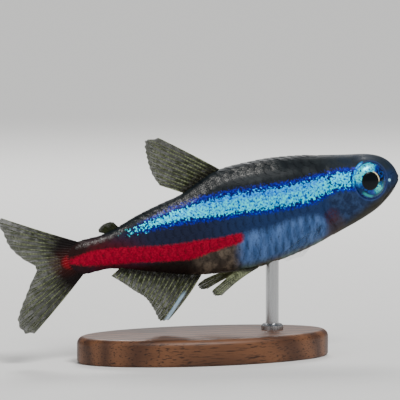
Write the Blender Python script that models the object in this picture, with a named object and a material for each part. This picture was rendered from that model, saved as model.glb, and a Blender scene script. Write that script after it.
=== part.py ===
"""Neon tetra at life size, held in its swimming pose on a small display stand.

Sizes below are in millimetres and angles in degrees. The finished meshes are in metres, +Z up.
The head points to +X and the right flank to -Y. The origin is the middle of the base's underside.
Places on the fish are read along its body: s runs back from the snout, v runs up from the
line between the snout and the middle of the tail's root, and y runs sideways.
"""

import math

import bmesh
import bpy
import numpy as np
from mathutils import Matrix, Vector

# Units and the pose
MM = 0.001
PITCH = 12.0
SNOUT_X = 17.5
SNOUT_Z = 15.0
GAP = 0.3

# The body: distance from the snout, back line, belly line and half width
BODY_STATIONS = (
    (0.0, 0.00, 0.00, 0.00),
    (0.25, 0.94, -0.70, 0.68),
    (0.8, 1.64, -1.31, 1.11),
    (1.6, 2.14, -1.88, 1.45),
    (2.5, 2.44, -2.38, 1.70),
    (4.0, 2.74, -2.90, 1.93),
    (6.0, 3.16, -3.42, 2.08),
    (8.0, 3.60, -3.92, 2.20),
    (10.0, 3.94, -4.30, 2.25),
    (12.0, 4.14, -4.56, 2.22),
    (14.5, 4.20, -4.70, 2.10),
    (16.0, 4.10, -4.54, 1.95),
    (17.5, 3.64, -4.34, 1.78),
    (19.5, 2.85, -3.98, 1.50),
    (21.5, 2.48, -3.40, 1.22),
    (23.5, 2.05, -2.72, 0.98),
    (25.5, 1.48, -2.00, 0.76),
    (27.5, 1.18, -1.63, 0.58),
    (30.5, 1.16, -1.60, 0.38),
)
WIDEST_RISE = 0.06
BODY_SIDES = 24
HEAD_ROWS = 18
TORSO_ROWS = 20
STEM_ROWS = 5

# Where the body is parted
GILL_EDGE_S = 7.85
GILL_EDGE_V = -0.9
GILL_EDGE_REACH = 2.2
GILL_EDGE_SPREAD = 2.0
STEM_START_S = 26.6
STEM_END_S = 28.9
STEM_END_BULGE = 1.4

# Eyes
EYE_S = 3.07
EYE_V = 0.32
EYE_RADIUS = 1.56
EYE_RIM_Y = 1.38
EYE_DOME = 0.72
EYE_DEPTH = 0.72
EYE_TURN = 9.0
EYE_SIDES = 20

# Mouth, lips and nostrils
MOUTH_FRONT = (-0.4, 0.13)
MOUTH_CORNER = (1.42, -1.02)
JAW_HINGE = (3.5, -3.35)
LIP_RAISE = 0.10
LIP_WIDTH = 0.26
NOSTRIL_S = 0.8
NOSTRIL_V = 0.36
NOSTRIL_RADIUS = 0.17
NOSTRIL_DEPTH = 0.25

# Gill covers
COVER_FRONT_S = 4.95
COVER_TOP_V = 1.15
COVER_BOTTOM_V = -2.55
COVER_BOW = 0.95
COVER_THICKNESS = 0.6
COVER_RAISE = 0.07
COVER_ROWS = 8
COVER_COLUMNS = 6

# Fin membranes and rays
MEMBRANE = 0.5
MARGIN = 0.3
MARGIN_SHARE = 0.2
RIDGE = 0.11
RIDGE_START = 0.12
RIDGE_FADE = 0.7
RAY_SHARE = 0.56
FIN_ROWS = (0.0, 0.16, 0.34, 0.54, 0.74, 0.9, 1.0)

# Each fin's outline: share of the way from its first to its last ray, then the ray's tip
DORSAL_BASE = (16.0, 19.4)
DORSAL_RAYS = 11
DORSAL_TIPS = (
    (0.0, 20.3, 7.92),
    (0.15, 21.4, 8.0),
    (0.35, 21.62, 7.2),
    (0.6, 21.6, 6.1),
    (0.8, 21.45, 5.1),
    (1.0, 21.0, 4.05),
)
ANAL_BASE = (19.3, 26.2)
ANAL_RAYS = 18
ANAL_TIPS = (
    (0.0, 22.7, -7.1),
    (0.12, 23.4, -7.0),
    (0.3, 23.75, -5.9),
    (0.5, 24.2, -4.85),
    (0.7, 25.1, -3.95),
    (0.85, 25.9, -3.1),
    (1.0, 26.75, -2.3),
)
ADIPOSE_BASE = (25.2, 26.2)
ADIPOSE_TIPS = (
    (0.0, 26.0, 2.12),
    (0.4, 26.5, 2.2),
    (0.75, 27.0, 2.05),
    (1.0, 27.1, 1.72),
)
CAUDAL_UPPER_RAYS = 10
CAUDAL_UPPER_BASE = (20.0, 82.0)
CAUDAL_UPPER_TIPS = (
    (0.0, 35.0, 4.62),
    (0.12, 35.45, 4.4),
    (0.3, 35.1, 3.4),
    (0.5, 34.9, 2.4),
    (0.7, 34.4, 1.5),
    (0.85, 33.75, 0.75),
    (1.0, 32.95, 0.04),
)
CAUDAL_LOWER_RAYS = 9
CAUDAL_LOWER_BASE = (162.0, 98.0)
CAUDAL_LOWER_TIPS = (
    (0.0, 34.1, -5.4),
    (0.12, 34.9, -5.2),
    (0.3, 35.3, -4.2),
    (0.5, 34.8, -3.1),
    (0.7, 34.1, -2.1),
    (0.85, 33.5, -1.2),
    (1.0, 32.88, -0.32),
)
PELVIC_BASE = (14.75, 16.05)
PELVIC_ROOT_Y = 0.72
PELVIC_RAYS = 8
PELVIC_SPLAY = 0.95
PELVIC_LEFT_LIFT = 0.25
PELVIC_TIPS = (
    (0.0, 18.2, -5.95),
    (0.3, 18.75, -5.85),
    (0.6, 18.95, -5.45),
    (1.0, 18.3, -5.1),
)
PECTORAL_BASE = ((8.35, -2.2), (8.6, -3.05))
PECTORAL_RAYS = 11
PECTORAL_SPLAY = 1.0
PECTORAL_TIPS = (
    (0.0, 12.5, -3.35),
    (0.25, 12.95, -3.75),
    (0.55, 12.5, -4.25),
    (1.0, 10.9, -4.25),
)

# The display stand
BASE_LENGTH = 22.0
BASE_WIDTH = 11.0
BASE_HEIGHT = 2.2
BASE_BEVEL = 0.6
BASE_SIDES = 48
ROD_RADIUS = 0.55
ROD_SIDES = 16
ROD_S = 12.6


def smooth_curve(places, values):
    """A curve through the points that never swings past them."""
    places = np.array(places, float)
    values = np.array(values, float)
    steps = np.diff(places)
    slopes = np.diff(values) / steps
    tangents = np.empty_like(values)
    tangents[0] = slopes[0]
    tangents[-1] = slopes[-1]
    for i in range(1, len(values) - 1):
        before, after = slopes[i - 1], slopes[i]
        tangents[i] = 0.0 if before * after <= 0 else 2 * before * after / (before + after)

    def read(place):
        i = int(np.clip(np.searchsorted(places, place) - 1, 0, len(steps) - 1))
        t = min(max((place - places[i]) / steps[i], 0.0), 1.0)
        rise = steps[i] * (tangents[i] * t * (1 - t) ** 2 - tangents[i + 1] * t * t * (1 - t))
        return float(values[i] + (values[i + 1] - values[i]) * t * t * (3 - 2 * t) + rise)

    return read


# Read along the square root of the distance, the sizes give the snout its round end
ROOTS = [math.sqrt(row[0]) for row in BODY_STATIONS]
BACK = smooth_curve(ROOTS, [row[1] for row in BODY_STATIONS])
BELLY = smooth_curve(ROOTS, [row[2] for row in BODY_STATIONS])
WIDTH = smooth_curve(ROOTS, [row[3] for row in BODY_STATIONS])


def section(s):
    """Back line, belly line, half width and the height of the widest point."""
    root = math.sqrt(max(s, 0.0))
    back, belly, width = BACK(root), BELLY(root), WIDTH(root)
    widest = (back + belly) / 2 + WIDEST_RISE * (back - belly) / 2
    return back, belly, width, widest


def skin_height(s, y, upper):
    """Height of the back or the belly at a distance y from the middle."""
    back, belly, width, widest = section(s)
    reach = (back if upper else belly) - widest
    return widest + reach * math.sqrt(max(0.0, 1 - (y / width) ** 2))


def skin_side(s, v):
    """Distance of the flank from the middle at a height v."""
    back, belly, width, widest = section(s)
    reach = (back if v > widest else belly) - widest
    return width * math.sqrt(max(0.0, 1 - ((v - widest) / reach) ** 2))


def skin_normal(s, v):
    """Direction out of the flank across the body, as (v, y)."""
    back, belly, width, widest = section(s)
    reach = abs((back if v > widest else belly) - widest)
    normal = Vector(((v - widest) / reach**2, skin_side(s, v) / width**2))
    return normal.normalized()


def around(s, turn):
    """Height and side distance of the skin; turn 0 is the back and half a turn the belly."""
    back, belly, width, widest = section(s)
    reach = (back if math.cos(turn) > 0 else belly) - widest
    return widest + reach * abs(math.cos(turn)), width * math.sin(turn)


def gill_edge(v):
    """Distance from the snout of the gill opening at a height v."""
    away = ((v - GILL_EDGE_V) / GILL_EDGE_SPREAD) ** 2
    return GILL_EDGE_S - GILL_EDGE_REACH * away / (1 + away)


def on_fish(s, v, y):
    """A place on the fish in its own frame, head along +X."""
    return Vector((-s, y, v))


def material(name, colour, roughness, metallic=0.0):
    """A plain finish in the part's own colour."""
    finish = bpy.data.materials.new(name)
    finish.use_nodes = True
    shader = finish.node_tree.nodes["Principled BSDF"]
    shader.inputs["Base Color"].default_value = (*colour, 1.0)
    shader.inputs["Roughness"].default_value = roughness
    shader.inputs["Metallic"].default_value = metallic
    finish.diffuse_color = (*colour, 1.0)
    return finish


def new_object(name, points, faces):
    """An object whose mesh is closed and faces outwards, still in millimetres."""
    mesh = bpy.data.meshes.new(name)
    mesh.from_pydata([tuple(p) for p in points], [], faces)
    shape = bmesh.new()
    shape.from_mesh(mesh)
    bmesh.ops.recalc_face_normals(shape, faces=shape.faces)
    shape.to_mesh(mesh)
    shape.free()
    obj = bpy.data.objects.new(name, mesh)
    bpy.context.collection.objects.link(obj)
    return obj


def boolean(obj, tool, operation):
    """Cut an object with a tool, or keep what they share, and remove the tool."""
    modifier = obj.modifiers.new(operation.lower(), "BOOLEAN")
    modifier.operation = operation
    modifier.solver = "EXACT"
    modifier.object = tool
    bpy.context.view_layer.update()
    graph = bpy.context.evaluated_depsgraph_get()
    mesh = bpy.data.meshes.new_from_object(obj.evaluated_get(graph))
    obj.modifiers.clear()
    obj.data = mesh
    bpy.data.objects.remove(tool)


def largest_shell(shape):
    """The faces of the biggest closed surface in the mesh."""
    left = set(shape.faces)
    best = []
    while left:
        stack = [left.pop()]
        shell = []
        while stack:
            face = stack.pop()
            shell.append(face)
            for edge in face.edges:
                for near in edge.link_faces:
                    if near in left:
                        left.remove(near)
                        stack.append(near)
        if len(shell) > len(best):
            best = shell
    return set(best)


def finish_node(obj, finish, parent):
    """Keep one closed surface, in metres, with its finish, and hang it on its parent."""
    shape = bmesh.new()
    shape.from_mesh(obj.data)
    keep = largest_shell(shape)
    bmesh.ops.delete(shape, geom=[f for f in shape.faces if f not in keep], context="FACES")
    bmesh.ops.dissolve_degenerate(shape, dist=0.004, edges=shape.edges)
    bmesh.ops.triangulate(shape, faces=[f for f in shape.faces if len(f.verts) > 3])
    bmesh.ops.recalc_face_normals(shape, faces=shape.faces)
    shape.to_mesh(obj.data)
    shape.free()
    obj.data.transform(Matrix.Scale(MM, 4))
    obj.data.name = obj.name
    obj.data.materials.clear()
    obj.data.materials.append(finish)
    obj.parent = parent
    return obj


def loft(name, rows, start, end):
    """A length of the body between two cuts; start and end give s for each turn."""
    turns = [2 * math.pi * j / BODY_SIDES for j in range(BODY_SIDES)]
    points = []
    for i in range(rows + 1):
        for turn in turns:
            first, last = math.sqrt(start(turn)), math.sqrt(end(turn))
            s = (first + (last - first) * i / rows) ** 2
            v, y = around(s, turn)
            if 0 < s:
                v, y = raise_lips(s, v, y)
            points.append(on_fish(s, v, y))
    faces = []
    pointed = start(0.0) == 0.0
    for i in range(rows):
        for j in range(BODY_SIDES):
            a = i * BODY_SIDES + j
            b = i * BODY_SIDES + (j + 1) % BODY_SIDES
            if i == 0 and pointed:
                faces.append((0, a + BODY_SIDES, b + BODY_SIDES))
            else:
                faces.append((a, b, b + BODY_SIDES, a + BODY_SIDES))
    caps = [rows] if pointed else [0, rows]
    for i in caps:
        ring = [i * BODY_SIDES + j for j in range(BODY_SIDES)]
        half = BODY_SIDES // 2
        for j in range(half):
            right = [ring[j], ring[j + 1]]
            left = [ring[-j - 1] if j + 1 < half else ring[half + 1], ring[-j]]
            corners = right + ([left[0]] if j + 1 < half else []) + ([left[1]] if j > 0 else [])
            faces.append(corners)
    if pointed:
        points, faces = drop_spare_poles(points, faces)
    return new_object(name, points, faces)


def drop_spare_poles(points, faces):
    """Keep one point for the snout's tip, where the first row has shrunk to nothing."""
    spare = BODY_SIDES - 1
    moved = [tuple(k if k == 0 else k - spare for k in face) for face in faces]
    return [points[0]] + points[BODY_SIDES:], moved


def raise_lips(s, v, y):
    """Swell the skin a little along the mouth."""
    front, corner = Vector(MOUTH_FRONT), Vector(MOUTH_CORNER)
    along = corner - front
    place = Vector((s, v)) - front
    share = min(max(place.dot(along) / along.length_squared, 0.0), 1.0)
    away = (place - along * share).length / LIP_WIDTH
    raised = LIP_RAISE * math.exp(-away * away)
    across = Vector((v, y))
    if across.length < 1e-6:
        return v, y
    out = across.normalized() * raised
    return v + out.x, y + out.y


def gill_cut(extra):
    """Where the body is parted behind the gills, for each turn round the body."""

    def place(turn):
        s = GILL_EDGE_S
        for _ in range(12):
            s = gill_edge(around(s, turn)[0]) + extra
        return s

    return place


def stem_end(turn):
    """The rounded end of the tail's stem, where the fin rays begin."""
    return STEM_END_S + STEM_END_BULGE * abs(math.sin(turn))


def eye_solid(name, side, margin):
    """The eyeball, or its socket where a margin is added: a dome outside and a bowl inside."""
    radius = EYE_RADIUS + margin
    dome = EYE_DOME + margin
    bowl = EYE_DEPTH + margin
    steps = 4
    rows = [(radius * math.sin(a), dome * math.cos(a)) for a in np.linspace(0, math.pi / 2, steps + 1)]
    rows += [(radius * math.sin(a), bowl * math.cos(a)) for a in np.linspace(math.pi / 2, math.pi, steps + 1)[1:]]
    points = []
    for radius_here, height in rows[1:-1]:
        for k in range(EYE_SIDES):
            turn = 2 * math.pi * k / EYE_SIDES
            points.append(Vector((radius_here * math.cos(turn), height, radius_here * math.sin(turn))))
    inner = len(points)
    points += [Vector((0, rows[0][1], 0)), Vector((0, rows[-1][1], 0))]
    faces = []
    last = len(rows) - 3
    for i in range(last):
        for k in range(EYE_SIDES):
            n = (k + 1) % EYE_SIDES
            faces.append((i * EYE_SIDES + k, i * EYE_SIDES + n, (i + 1) * EYE_SIDES + n, (i + 1) * EYE_SIDES + k))
    for k in range(EYE_SIDES):
        n = (k + 1) % EYE_SIDES
        faces.append((inner, n, k))
        faces.append((inner + 1, last * EYE_SIDES + k, last * EYE_SIDES + n))
    turned = Matrix.Rotation(math.radians(-EYE_TURN), 4, "Z")
    placed = []
    for point in points:
        p = turned @ point
        placed.append(Vector((p.x - EYE_S, side * (p.y + EYE_RIM_Y), p.z + EYE_V)))
    return new_object(name, placed, faces)


def cover_solid(name, side, margin, inside, outside):
    """A gill cover's plate, or its pocket where a margin is added, between two depths."""
    top = COVER_TOP_V + margin
    bottom = COVER_BOTTOM_V - margin
    points = []
    for depth in (outside, -inside):
        for i in range(COVER_ROWS + 1):
            down = i / COVER_ROWS
            v = top + (bottom - top) * down
            bow = COVER_BOW * (2 * down - 1) ** 2
            front = COVER_FRONT_S - margin + bow
            back = gill_edge(v) + margin
            for k in range(COVER_COLUMNS + 1):
                s = front + (back - front) * k / COVER_COLUMNS
                out = skin_normal(s, v)
                points.append(on_fish(s, v + out.x * depth, side * (skin_side(s, v) + out.y * depth)))
    return new_object(name, points, sheet_faces(COVER_ROWS + 1, COVER_COLUMNS + 1))


def sheet_faces(rows, columns):
    """Triangles of a thin closed sheet, split alike on its two faces."""
    other = rows * columns
    faces = []
    for i in range(rows - 1):
        for k in range(columns - 1):
            a = i * columns + k
            b = a + 1
            c = b + columns
            d = a + columns
            faces += [(a, b, c), (a, c, d)]
            faces += [(other + a, other + c, other + b), (other + a, other + d, other + c)]
    rim = [k for k in range(columns)]
    rim += [i * columns + columns - 1 for i in range(1, rows)]
    rim += [(rows - 1) * columns + k for k in range(columns - 2, -1, -1)]
    rim += [i * columns for i in range(rows - 2, 0, -1)]
    for i, a in enumerate(rim):
        b = rim[(i + 1) % len(rim)]
        faces += [(a, other + a, other + b), (a, other + b, b)]
    return faces


def fin_columns(rays):
    """Shares of the way across a fin, and whether each line is a ray's crest."""
    step = 1 / (rays - 1)
    columns = []
    for i in range(rays):
        crest = i * step
        if i > 0:
            columns.append((crest - RAY_SHARE * step / 2, False))
        columns.append((crest, True))
        if i < rays - 1:
            columns.append((crest + RAY_SHARE * step / 2, False))
    return columns


def fin_half_thickness(crest, t):
    """Half the fin's thickness at a share t of the way to its margin."""
    full = min(1.0, (1 - t) / MARGIN_SHARE)
    half = (MARGIN + (MEMBRANE - MARGIN) * full) / 2
    if crest:
        half += RIDGE * min(1.0, t / RIDGE_START) * (1 - RIDGE_FADE * t)
    return half


def fin_solid(name, columns, base, tips, bow, bend, root=None):
    """A fin as one thin sheet with its rays raised on both faces.

    base(u) gives a ray's root and tips its end, bow curves the rays in the fin's plane,
    bend(u, t) carries them sideways, and root(s, y) fits the first row to the skin.
    """
    tip_s = smooth_curve([row[0] for row in tips], [row[1] for row in tips])
    tip_v = smooth_curve([row[0] for row in tips], [row[2] for row in tips])

    def middle(u, t):
        start = Vector(base(u))
        end = Vector((tip_s(u), tip_v(u)))
        across = Vector((start.y - end.y, end.x - start.x))
        flat = start.lerp(end, t) + across * (bow * 4 * t * (1 - t))
        return Vector((flat.x, flat.y, bend(u, t)))

    over = middle(0.6, 0.5) - middle(0.4, 0.5)
    along = middle(0.5, 0.6) - middle(0.5, 0.4)
    normal = over.cross(along).normalized()
    points = []
    for face in (1, -1):
        for u, crest in columns:
            for t in FIN_ROWS:
                s, v, y = middle(u, t) + normal * face * fin_half_thickness(crest, t)
                if t == 0 and root:
                    v = root(s, y)
                points.append(on_fish(s, v, y))
    return new_object(name, points, sheet_faces(len(columns), len(FIN_ROWS)))


def median_fin(name, rays, span, tips, upper, bow, lean):
    """A fin on the back or belly line."""
    side = 1 if upper else -1

    def base(u):
        s = span[0] + (span[1] - span[0]) * u
        return s, skin_height(s, 0.0, upper) + side * GAP

    def root(s, y):
        return skin_height(s, y, upper) + side * GAP

    return fin_solid(name, fin_columns(rays), base, tips, bow, lambda u, t: lean * t * t, root)


def caudal_lobe(name, rays, span, tips, bow, lean):
    """One lobe of the tail fin, set round the stem's end."""
    back, belly, width, widest = section(STEM_END_S)

    def base(u):
        turn = math.radians(span[0] + (span[1] - span[0]) * u)
        reach = (back if math.cos(turn) > 0 else belly) - widest
        v = widest + (abs(reach) + GAP) * math.cos(turn)
        return STEM_END_S + (STEM_END_BULGE + GAP) * math.sin(turn), v

    return fin_solid(name, fin_columns(rays), base, tips, bow, lambda u, t: lean * t * t)


def pelvic_fin(name, side):
    """A pelvic fin, rooted on the belly and splayed outwards; the left one is held higher."""
    lift = PELVIC_LEFT_LIFT if side > 0 else 0.0
    tips = [(u, s, v + lift) for u, s, v in PELVIC_TIPS]

    def base(u):
        s = PELVIC_BASE[0] + (PELVIC_BASE[1] - PELVIC_BASE[0]) * u
        return s, skin_height(s, PELVIC_ROOT_Y, False) - GAP

    def bend(u, t):
        return side * (PELVIC_ROOT_Y + PELVIC_SPLAY * t)

    def root(s, y):
        return skin_height(s, y, False) - GAP

    return fin_solid(name, fin_columns(PELVIC_RAYS), base, tips, 0.03, bend, root)


def pectoral_fin(name, side):
    """A pectoral fin, rooted low behind the gill cover and folded back along the flank."""
    front, rear = Vector(PECTORAL_BASE[0]), Vector(PECTORAL_BASE[1])

    def base(u):
        return front.lerp(rear, u)

    def bend(u, t):
        s, v = base(u)
        return side * (skin_side(s, v) + GAP + MEMBRANE / 2 + RIDGE + PECTORAL_SPLAY * t)

    return fin_solid(name, fin_columns(PECTORAL_RAYS), base, PECTORAL_TIPS, 0.04, bend)


def adipose_fin(name):
    """The small fleshy fin before the tail, with no rays."""
    columns = [(i / 4, False) for i in range(5)]

    def base(u):
        s = ADIPOSE_BASE[0] + (ADIPOSE_BASE[1] - ADIPOSE_BASE[0]) * u
        return s, skin_height(s, 0.0, True) + GAP

    def root(s, y):
        return skin_height(s, y, True) + GAP

    return fin_solid(name, columns, base, ADIPOSE_TIPS, 0.0, lambda u, t: 0.0, root)


def jaw_wedge(name, margin):
    """The block that holds the lower jaw, below the mouth and ahead of the jaw's hinge."""
    front, corner, hinge = Vector(MOUTH_FRONT), Vector(MOUTH_CORNER), Vector(JAW_HINGE)
    above = (corner - front).normalized()
    above = Vector((-above.y, above.x)) if above.x > 0 else above
    behind = (hinge - corner).normalized()
    behind = Vector((-behind.y, behind.x))
    middle = (above + behind).normalized()
    outline = [
        front + above * margin,
        corner + middle * margin * 1.15,
        hinge + behind * margin,
        Vector((hinge.x, hinge.y - 2)),
        Vector((front.x - 2, front.y - 5)),
    ]
    reach = 4.0
    count = len(outline)
    points = [on_fish(p.x, p.y, y) for y in (-reach, reach) for p in outline]
    faces = [tuple(range(count)), tuple(range(2 * count - 1, count - 1, -1))]
    faces += [(i, (i + 1) % count, count + (i + 1) % count, count + i) for i in range(count)]
    return new_object(name, points, faces)


def nostril_pit(side):
    """A short round cutter that stands on the skin between the snout and the eye."""
    sides = 8
    out = skin_normal(NOSTRIL_S, NOSTRIL_V)
    flat = skin_side(NOSTRIL_S, NOSTRIL_V)
    axis = Vector((0.75, side * out.y, out.x)).normalized()
    place = on_fish(NOSTRIL_S, NOSTRIL_V, side * flat)
    turn = axis.to_track_quat("Z", "Y")
    points = []
    for height in (-NOSTRIL_DEPTH, NOSTRIL_DEPTH * 2):
        for k in range(sides):
            a = 2 * math.pi * k / sides
            ring = Vector((NOSTRIL_RADIUS * math.cos(a), NOSTRIL_RADIUS * math.sin(a), height))
            points.append(place + turn @ ring)
    faces = [tuple(range(sides)), tuple(range(2 * sides - 1, sides - 1, -1))]
    faces += [(k, (k + 1) % sides, sides + (k + 1) % sides, sides + k) for k in range(sides)]
    return new_object("nostril_pit", points, faces)


def build_head(finish, parent):
    """The head without its jaw, with sockets, nostrils and the pockets of the gill covers."""
    head = loft("head", HEAD_ROWS, lambda turn: 0.0, gill_cut(0.0))
    boolean(head, jaw_wedge("jaw_room", GAP), "DIFFERENCE")
    for side in (-1, 1):
        boolean(head, eye_solid("socket", side, GAP), "DIFFERENCE")
        pocket = cover_solid("pocket", side, GAP, COVER_THICKNESS + GAP - COVER_RAISE, 1.0)
        boolean(head, pocket, "DIFFERENCE")
        boolean(head, nostril_pit(side), "DIFFERENCE")
    return finish_node(head, finish, parent)


def build_jaw(finish, parent):
    """The lower jaw, parted from the head along the mouth."""
    jaw = loft("lower_jaw", HEAD_ROWS, lambda turn: 0.0, gill_cut(0.0))
    boolean(jaw, jaw_wedge("jaw_block", 0.0), "INTERSECT")
    return finish_node(jaw, finish, parent)


def build_stand(wood, metal):
    """An oval base with one rod, whose top follows the belly."""
    levels = (
        (0.0, 0.25),
        (0.25, 0.0),
        (BASE_HEIGHT - BASE_BEVEL, 0.0),
        (BASE_HEIGHT - 0.3 * BASE_BEVEL, 0.3 * BASE_BEVEL),
        (BASE_HEIGHT, BASE_BEVEL),
    )
    points = []
    for height, inset in levels:
        for k in range(BASE_SIDES):
            a = 2 * math.pi * k / BASE_SIDES
            points.append(((BASE_LENGTH / 2 - inset) * math.cos(a), (BASE_WIDTH / 2 - inset) * math.sin(a), height))
    faces = [tuple(range(BASE_SIDES)), tuple(range((len(levels) - 1) * BASE_SIDES, len(levels) * BASE_SIDES))]
    for i in range(len(levels) - 1):
        for k in range(BASE_SIDES):
            a = i * BASE_SIDES + k
            b = i * BASE_SIDES + (k + 1) % BASE_SIDES
            faces.append((a, b, b + BASE_SIDES, a + BASE_SIDES))
    finish_node(new_object("stand_base", points, faces), wood, None)

    tilt = math.radians(PITCH)
    middle_v = skin_height(ROD_S, 0.0, False)
    rod_x = SNOUT_X - ROD_S * math.cos(tilt) - middle_v * math.sin(tilt)
    low, high = [], []
    for k in range(ROD_SIDES):
        a = 2 * math.pi * k / ROD_SIDES
        x = rod_x + ROD_RADIUS * math.cos(a)
        y = ROD_RADIUS * math.sin(a)
        s, v = ROD_S, middle_v
        for _ in range(8):
            s = (SNOUT_X - x - v * math.sin(tilt)) / math.cos(tilt)
            v = skin_height(s, y, False)
        z = SNOUT_Z - s * math.sin(tilt) + v * math.cos(tilt) - GAP
        low.append((x, y, BASE_HEIGHT + GAP))
        high.append((x, y, z))
    faces = [tuple(range(ROD_SIDES)), tuple(range(ROD_SIDES, 2 * ROD_SIDES))]
    for k in range(ROD_SIDES):
        n = (k + 1) % ROD_SIDES
        faces.append((k, n, ROD_SIDES + n, ROD_SIDES + k))
    finish_node(new_object("stand_rod", low + high, faces), metal, None)


def main():
    """Build the fish in its own frame, pose it, and stand it on its base."""
    for obj in list(bpy.data.objects):
        bpy.data.objects.remove(obj)

    skin = material("dark_back_skin", (0.06, 0.075, 0.10), 0.35)
    flank = material("blue_flank_skin", (0.05, 0.28, 0.55), 0.3)
    stem = material("red_tail_skin", (0.45, 0.02, 0.03), 0.35)
    jaw = material("silver_chin_skin", (0.35, 0.36, 0.30), 0.35)
    cover = material("slate_gill_cover", (0.12, 0.16, 0.26), 0.3)
    fin = material("clear_fin_membrane", (0.42, 0.44, 0.38), 0.35)
    eye = material("dark_blue_eye", (0.02, 0.09, 0.16), 0.08)
    wood = material("walnut_base", (0.13, 0.065, 0.03), 0.4)
    metal = material("steel_rod", (0.6, 0.6, 0.6), 0.25, 1.0)

    pose = bpy.data.objects.new("fish_pose", None)
    bpy.context.collection.objects.link(pose)
    pose.location = (SNOUT_X * MM, 0, SNOUT_Z * MM)
    pose.rotation_euler = (0, math.radians(-PITCH), 0)

    build_head(skin, pose)
    build_jaw(jaw, pose)
    torso = loft("torso", TORSO_ROWS, gill_cut(GAP), lambda turn: STEM_START_S)
    finish_node(torso, flank, pose)
    tail_stem = loft("tail_stem", STEM_ROWS, lambda turn: STEM_START_S + GAP, stem_end)
    finish_node(tail_stem, stem, pose)

    for name, side in (("right", -1), ("left", 1)):
        finish_node(eye_solid("eye_" + name, side, 0.0), eye, pose)
        plate = cover_solid("gill_cover_" + name, side, 0.0, COVER_THICKNESS - COVER_RAISE, COVER_RAISE)
        finish_node(plate, cover, pose)
        finish_node(pelvic_fin("fin_pelvic_" + name, side), fin, pose)
        finish_node(pectoral_fin("fin_pectoral_" + name, side), fin, pose)

    dorsal = median_fin("fin_dorsal", DORSAL_RAYS, DORSAL_BASE, DORSAL_TIPS, True, 0.005, 0.15)
    finish_node(dorsal, fin, pose)
    anal = median_fin("fin_anal", ANAL_RAYS, ANAL_BASE, ANAL_TIPS, False, -0.03, -0.15)
    finish_node(anal, fin, pose)
    finish_node(adipose_fin("fin_adipose"), fin, pose)
    upper = caudal_lobe("fin_caudal_upper", CAUDAL_UPPER_RAYS, CAUDAL_UPPER_BASE, CAUDAL_UPPER_TIPS, 0.0, -0.3)
    finish_node(upper, fin, pose)
    lower = caudal_lobe("fin_caudal_lower", CAUDAL_LOWER_RAYS, CAUDAL_LOWER_BASE, CAUDAL_LOWER_TIPS, -0.02, 0.2)
    finish_node(lower, fin, pose)

    build_stand(wood, metal)
    bpy.context.view_layer.update()


main()
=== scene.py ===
"""Looks of a life-size neon tetra on its display stand, built round the fixed frame.

The fish is drawn in its own frame, in millimetres: s runs back from the snout, v runs up from the
line between the snout and the middle of the tail's root, and y runs sideways, with the right flank
at minus y. Finished meshes are in metres in the frame's own axes.
"""

import math
from functools import partial

import bmesh
import bpy
import numpy as np
from bpy.props import FloatProperty, FloatVectorProperty, IntProperty, PointerProperty
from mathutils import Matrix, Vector


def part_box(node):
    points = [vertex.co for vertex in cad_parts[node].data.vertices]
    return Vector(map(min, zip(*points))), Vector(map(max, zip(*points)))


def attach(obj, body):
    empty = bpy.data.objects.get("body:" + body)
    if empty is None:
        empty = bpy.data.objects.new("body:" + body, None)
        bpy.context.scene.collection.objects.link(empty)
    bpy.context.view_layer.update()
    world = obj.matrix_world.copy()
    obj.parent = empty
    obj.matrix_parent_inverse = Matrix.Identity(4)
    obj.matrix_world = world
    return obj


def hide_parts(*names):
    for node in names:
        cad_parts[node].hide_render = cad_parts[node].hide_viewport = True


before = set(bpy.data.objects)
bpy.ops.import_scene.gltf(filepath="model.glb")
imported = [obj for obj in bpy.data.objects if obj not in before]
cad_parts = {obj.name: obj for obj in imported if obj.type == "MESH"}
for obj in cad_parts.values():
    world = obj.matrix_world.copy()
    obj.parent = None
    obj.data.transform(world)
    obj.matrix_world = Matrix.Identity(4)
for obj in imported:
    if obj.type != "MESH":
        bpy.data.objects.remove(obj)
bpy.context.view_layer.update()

bl_info = {
    "name": "Neon tetra display model",
    "version": (1, 0, 0),
    "blender": (4, 5, 0),
    "location": "3D Viewport > Sidebar > Neon tetra",
    "description": "Builds the skin, scales, eyes, fins, stand and studio of a life-size neon tetra",
    "category": "Object",
}

# Units and the pose
MM = 0.001
PITCH = 12.0
SNOUT_X = 17.5
SNOUT_Z = 15.0

# The body: distance from the snout, back line, belly line and half width
BODY_STATIONS = (
    (0.0, 0.00, 0.00, 0.00),
    (0.25, 0.94, -0.70, 0.68),
    (0.8, 1.64, -1.31, 1.11),
    (1.6, 2.14, -1.88, 1.45),
    (2.5, 2.44, -2.38, 1.70),
    (4.0, 2.74, -2.90, 1.93),
    (6.0, 3.16, -3.42, 2.08),
    (8.0, 3.60, -3.92, 2.20),
    (10.0, 3.94, -4.30, 2.25),
    (12.0, 4.14, -4.56, 2.22),
    (14.5, 4.20, -4.70, 2.10),
    (16.0, 4.10, -4.54, 1.95),
    (17.5, 3.64, -4.34, 1.78),
    (19.5, 2.85, -3.98, 1.50),
    (21.5, 2.48, -3.40, 1.22),
    (23.5, 2.05, -2.72, 0.98),
    (25.5, 1.48, -2.00, 0.76),
    (27.5, 1.18, -1.63, 0.58),
    (30.5, 1.16, -1.60, 0.38),
)
BODY_LENGTH = 30.5
WIDEST_RISE = 0.06
STEM_END_S = 28.9
STEM_END_BULGE = 1.4
STEM_TAPER_S = 26.0
STEM_TAPER = 2.4
STEM_TAPER_POWER = 0.7

# Eyes
EYE_S = 3.07
EYE_V = 0.32
EYE_RADIUS = 1.56
EYE_RIM_Y = 1.38
EYE_DOME = 0.72
EYE_DEPTH = 0.72
EYE_TURN = math.radians(9.0)
PUPIL_PLACE = (-0.3, 0.05)

# Mouth, nostrils and gill covers
MOUTH_FRONT = (-0.4, 0.13)
MOUTH_CORNER = (1.42, -1.02)
JAW_FOLD_END = (2.7, -2.45)
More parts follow.
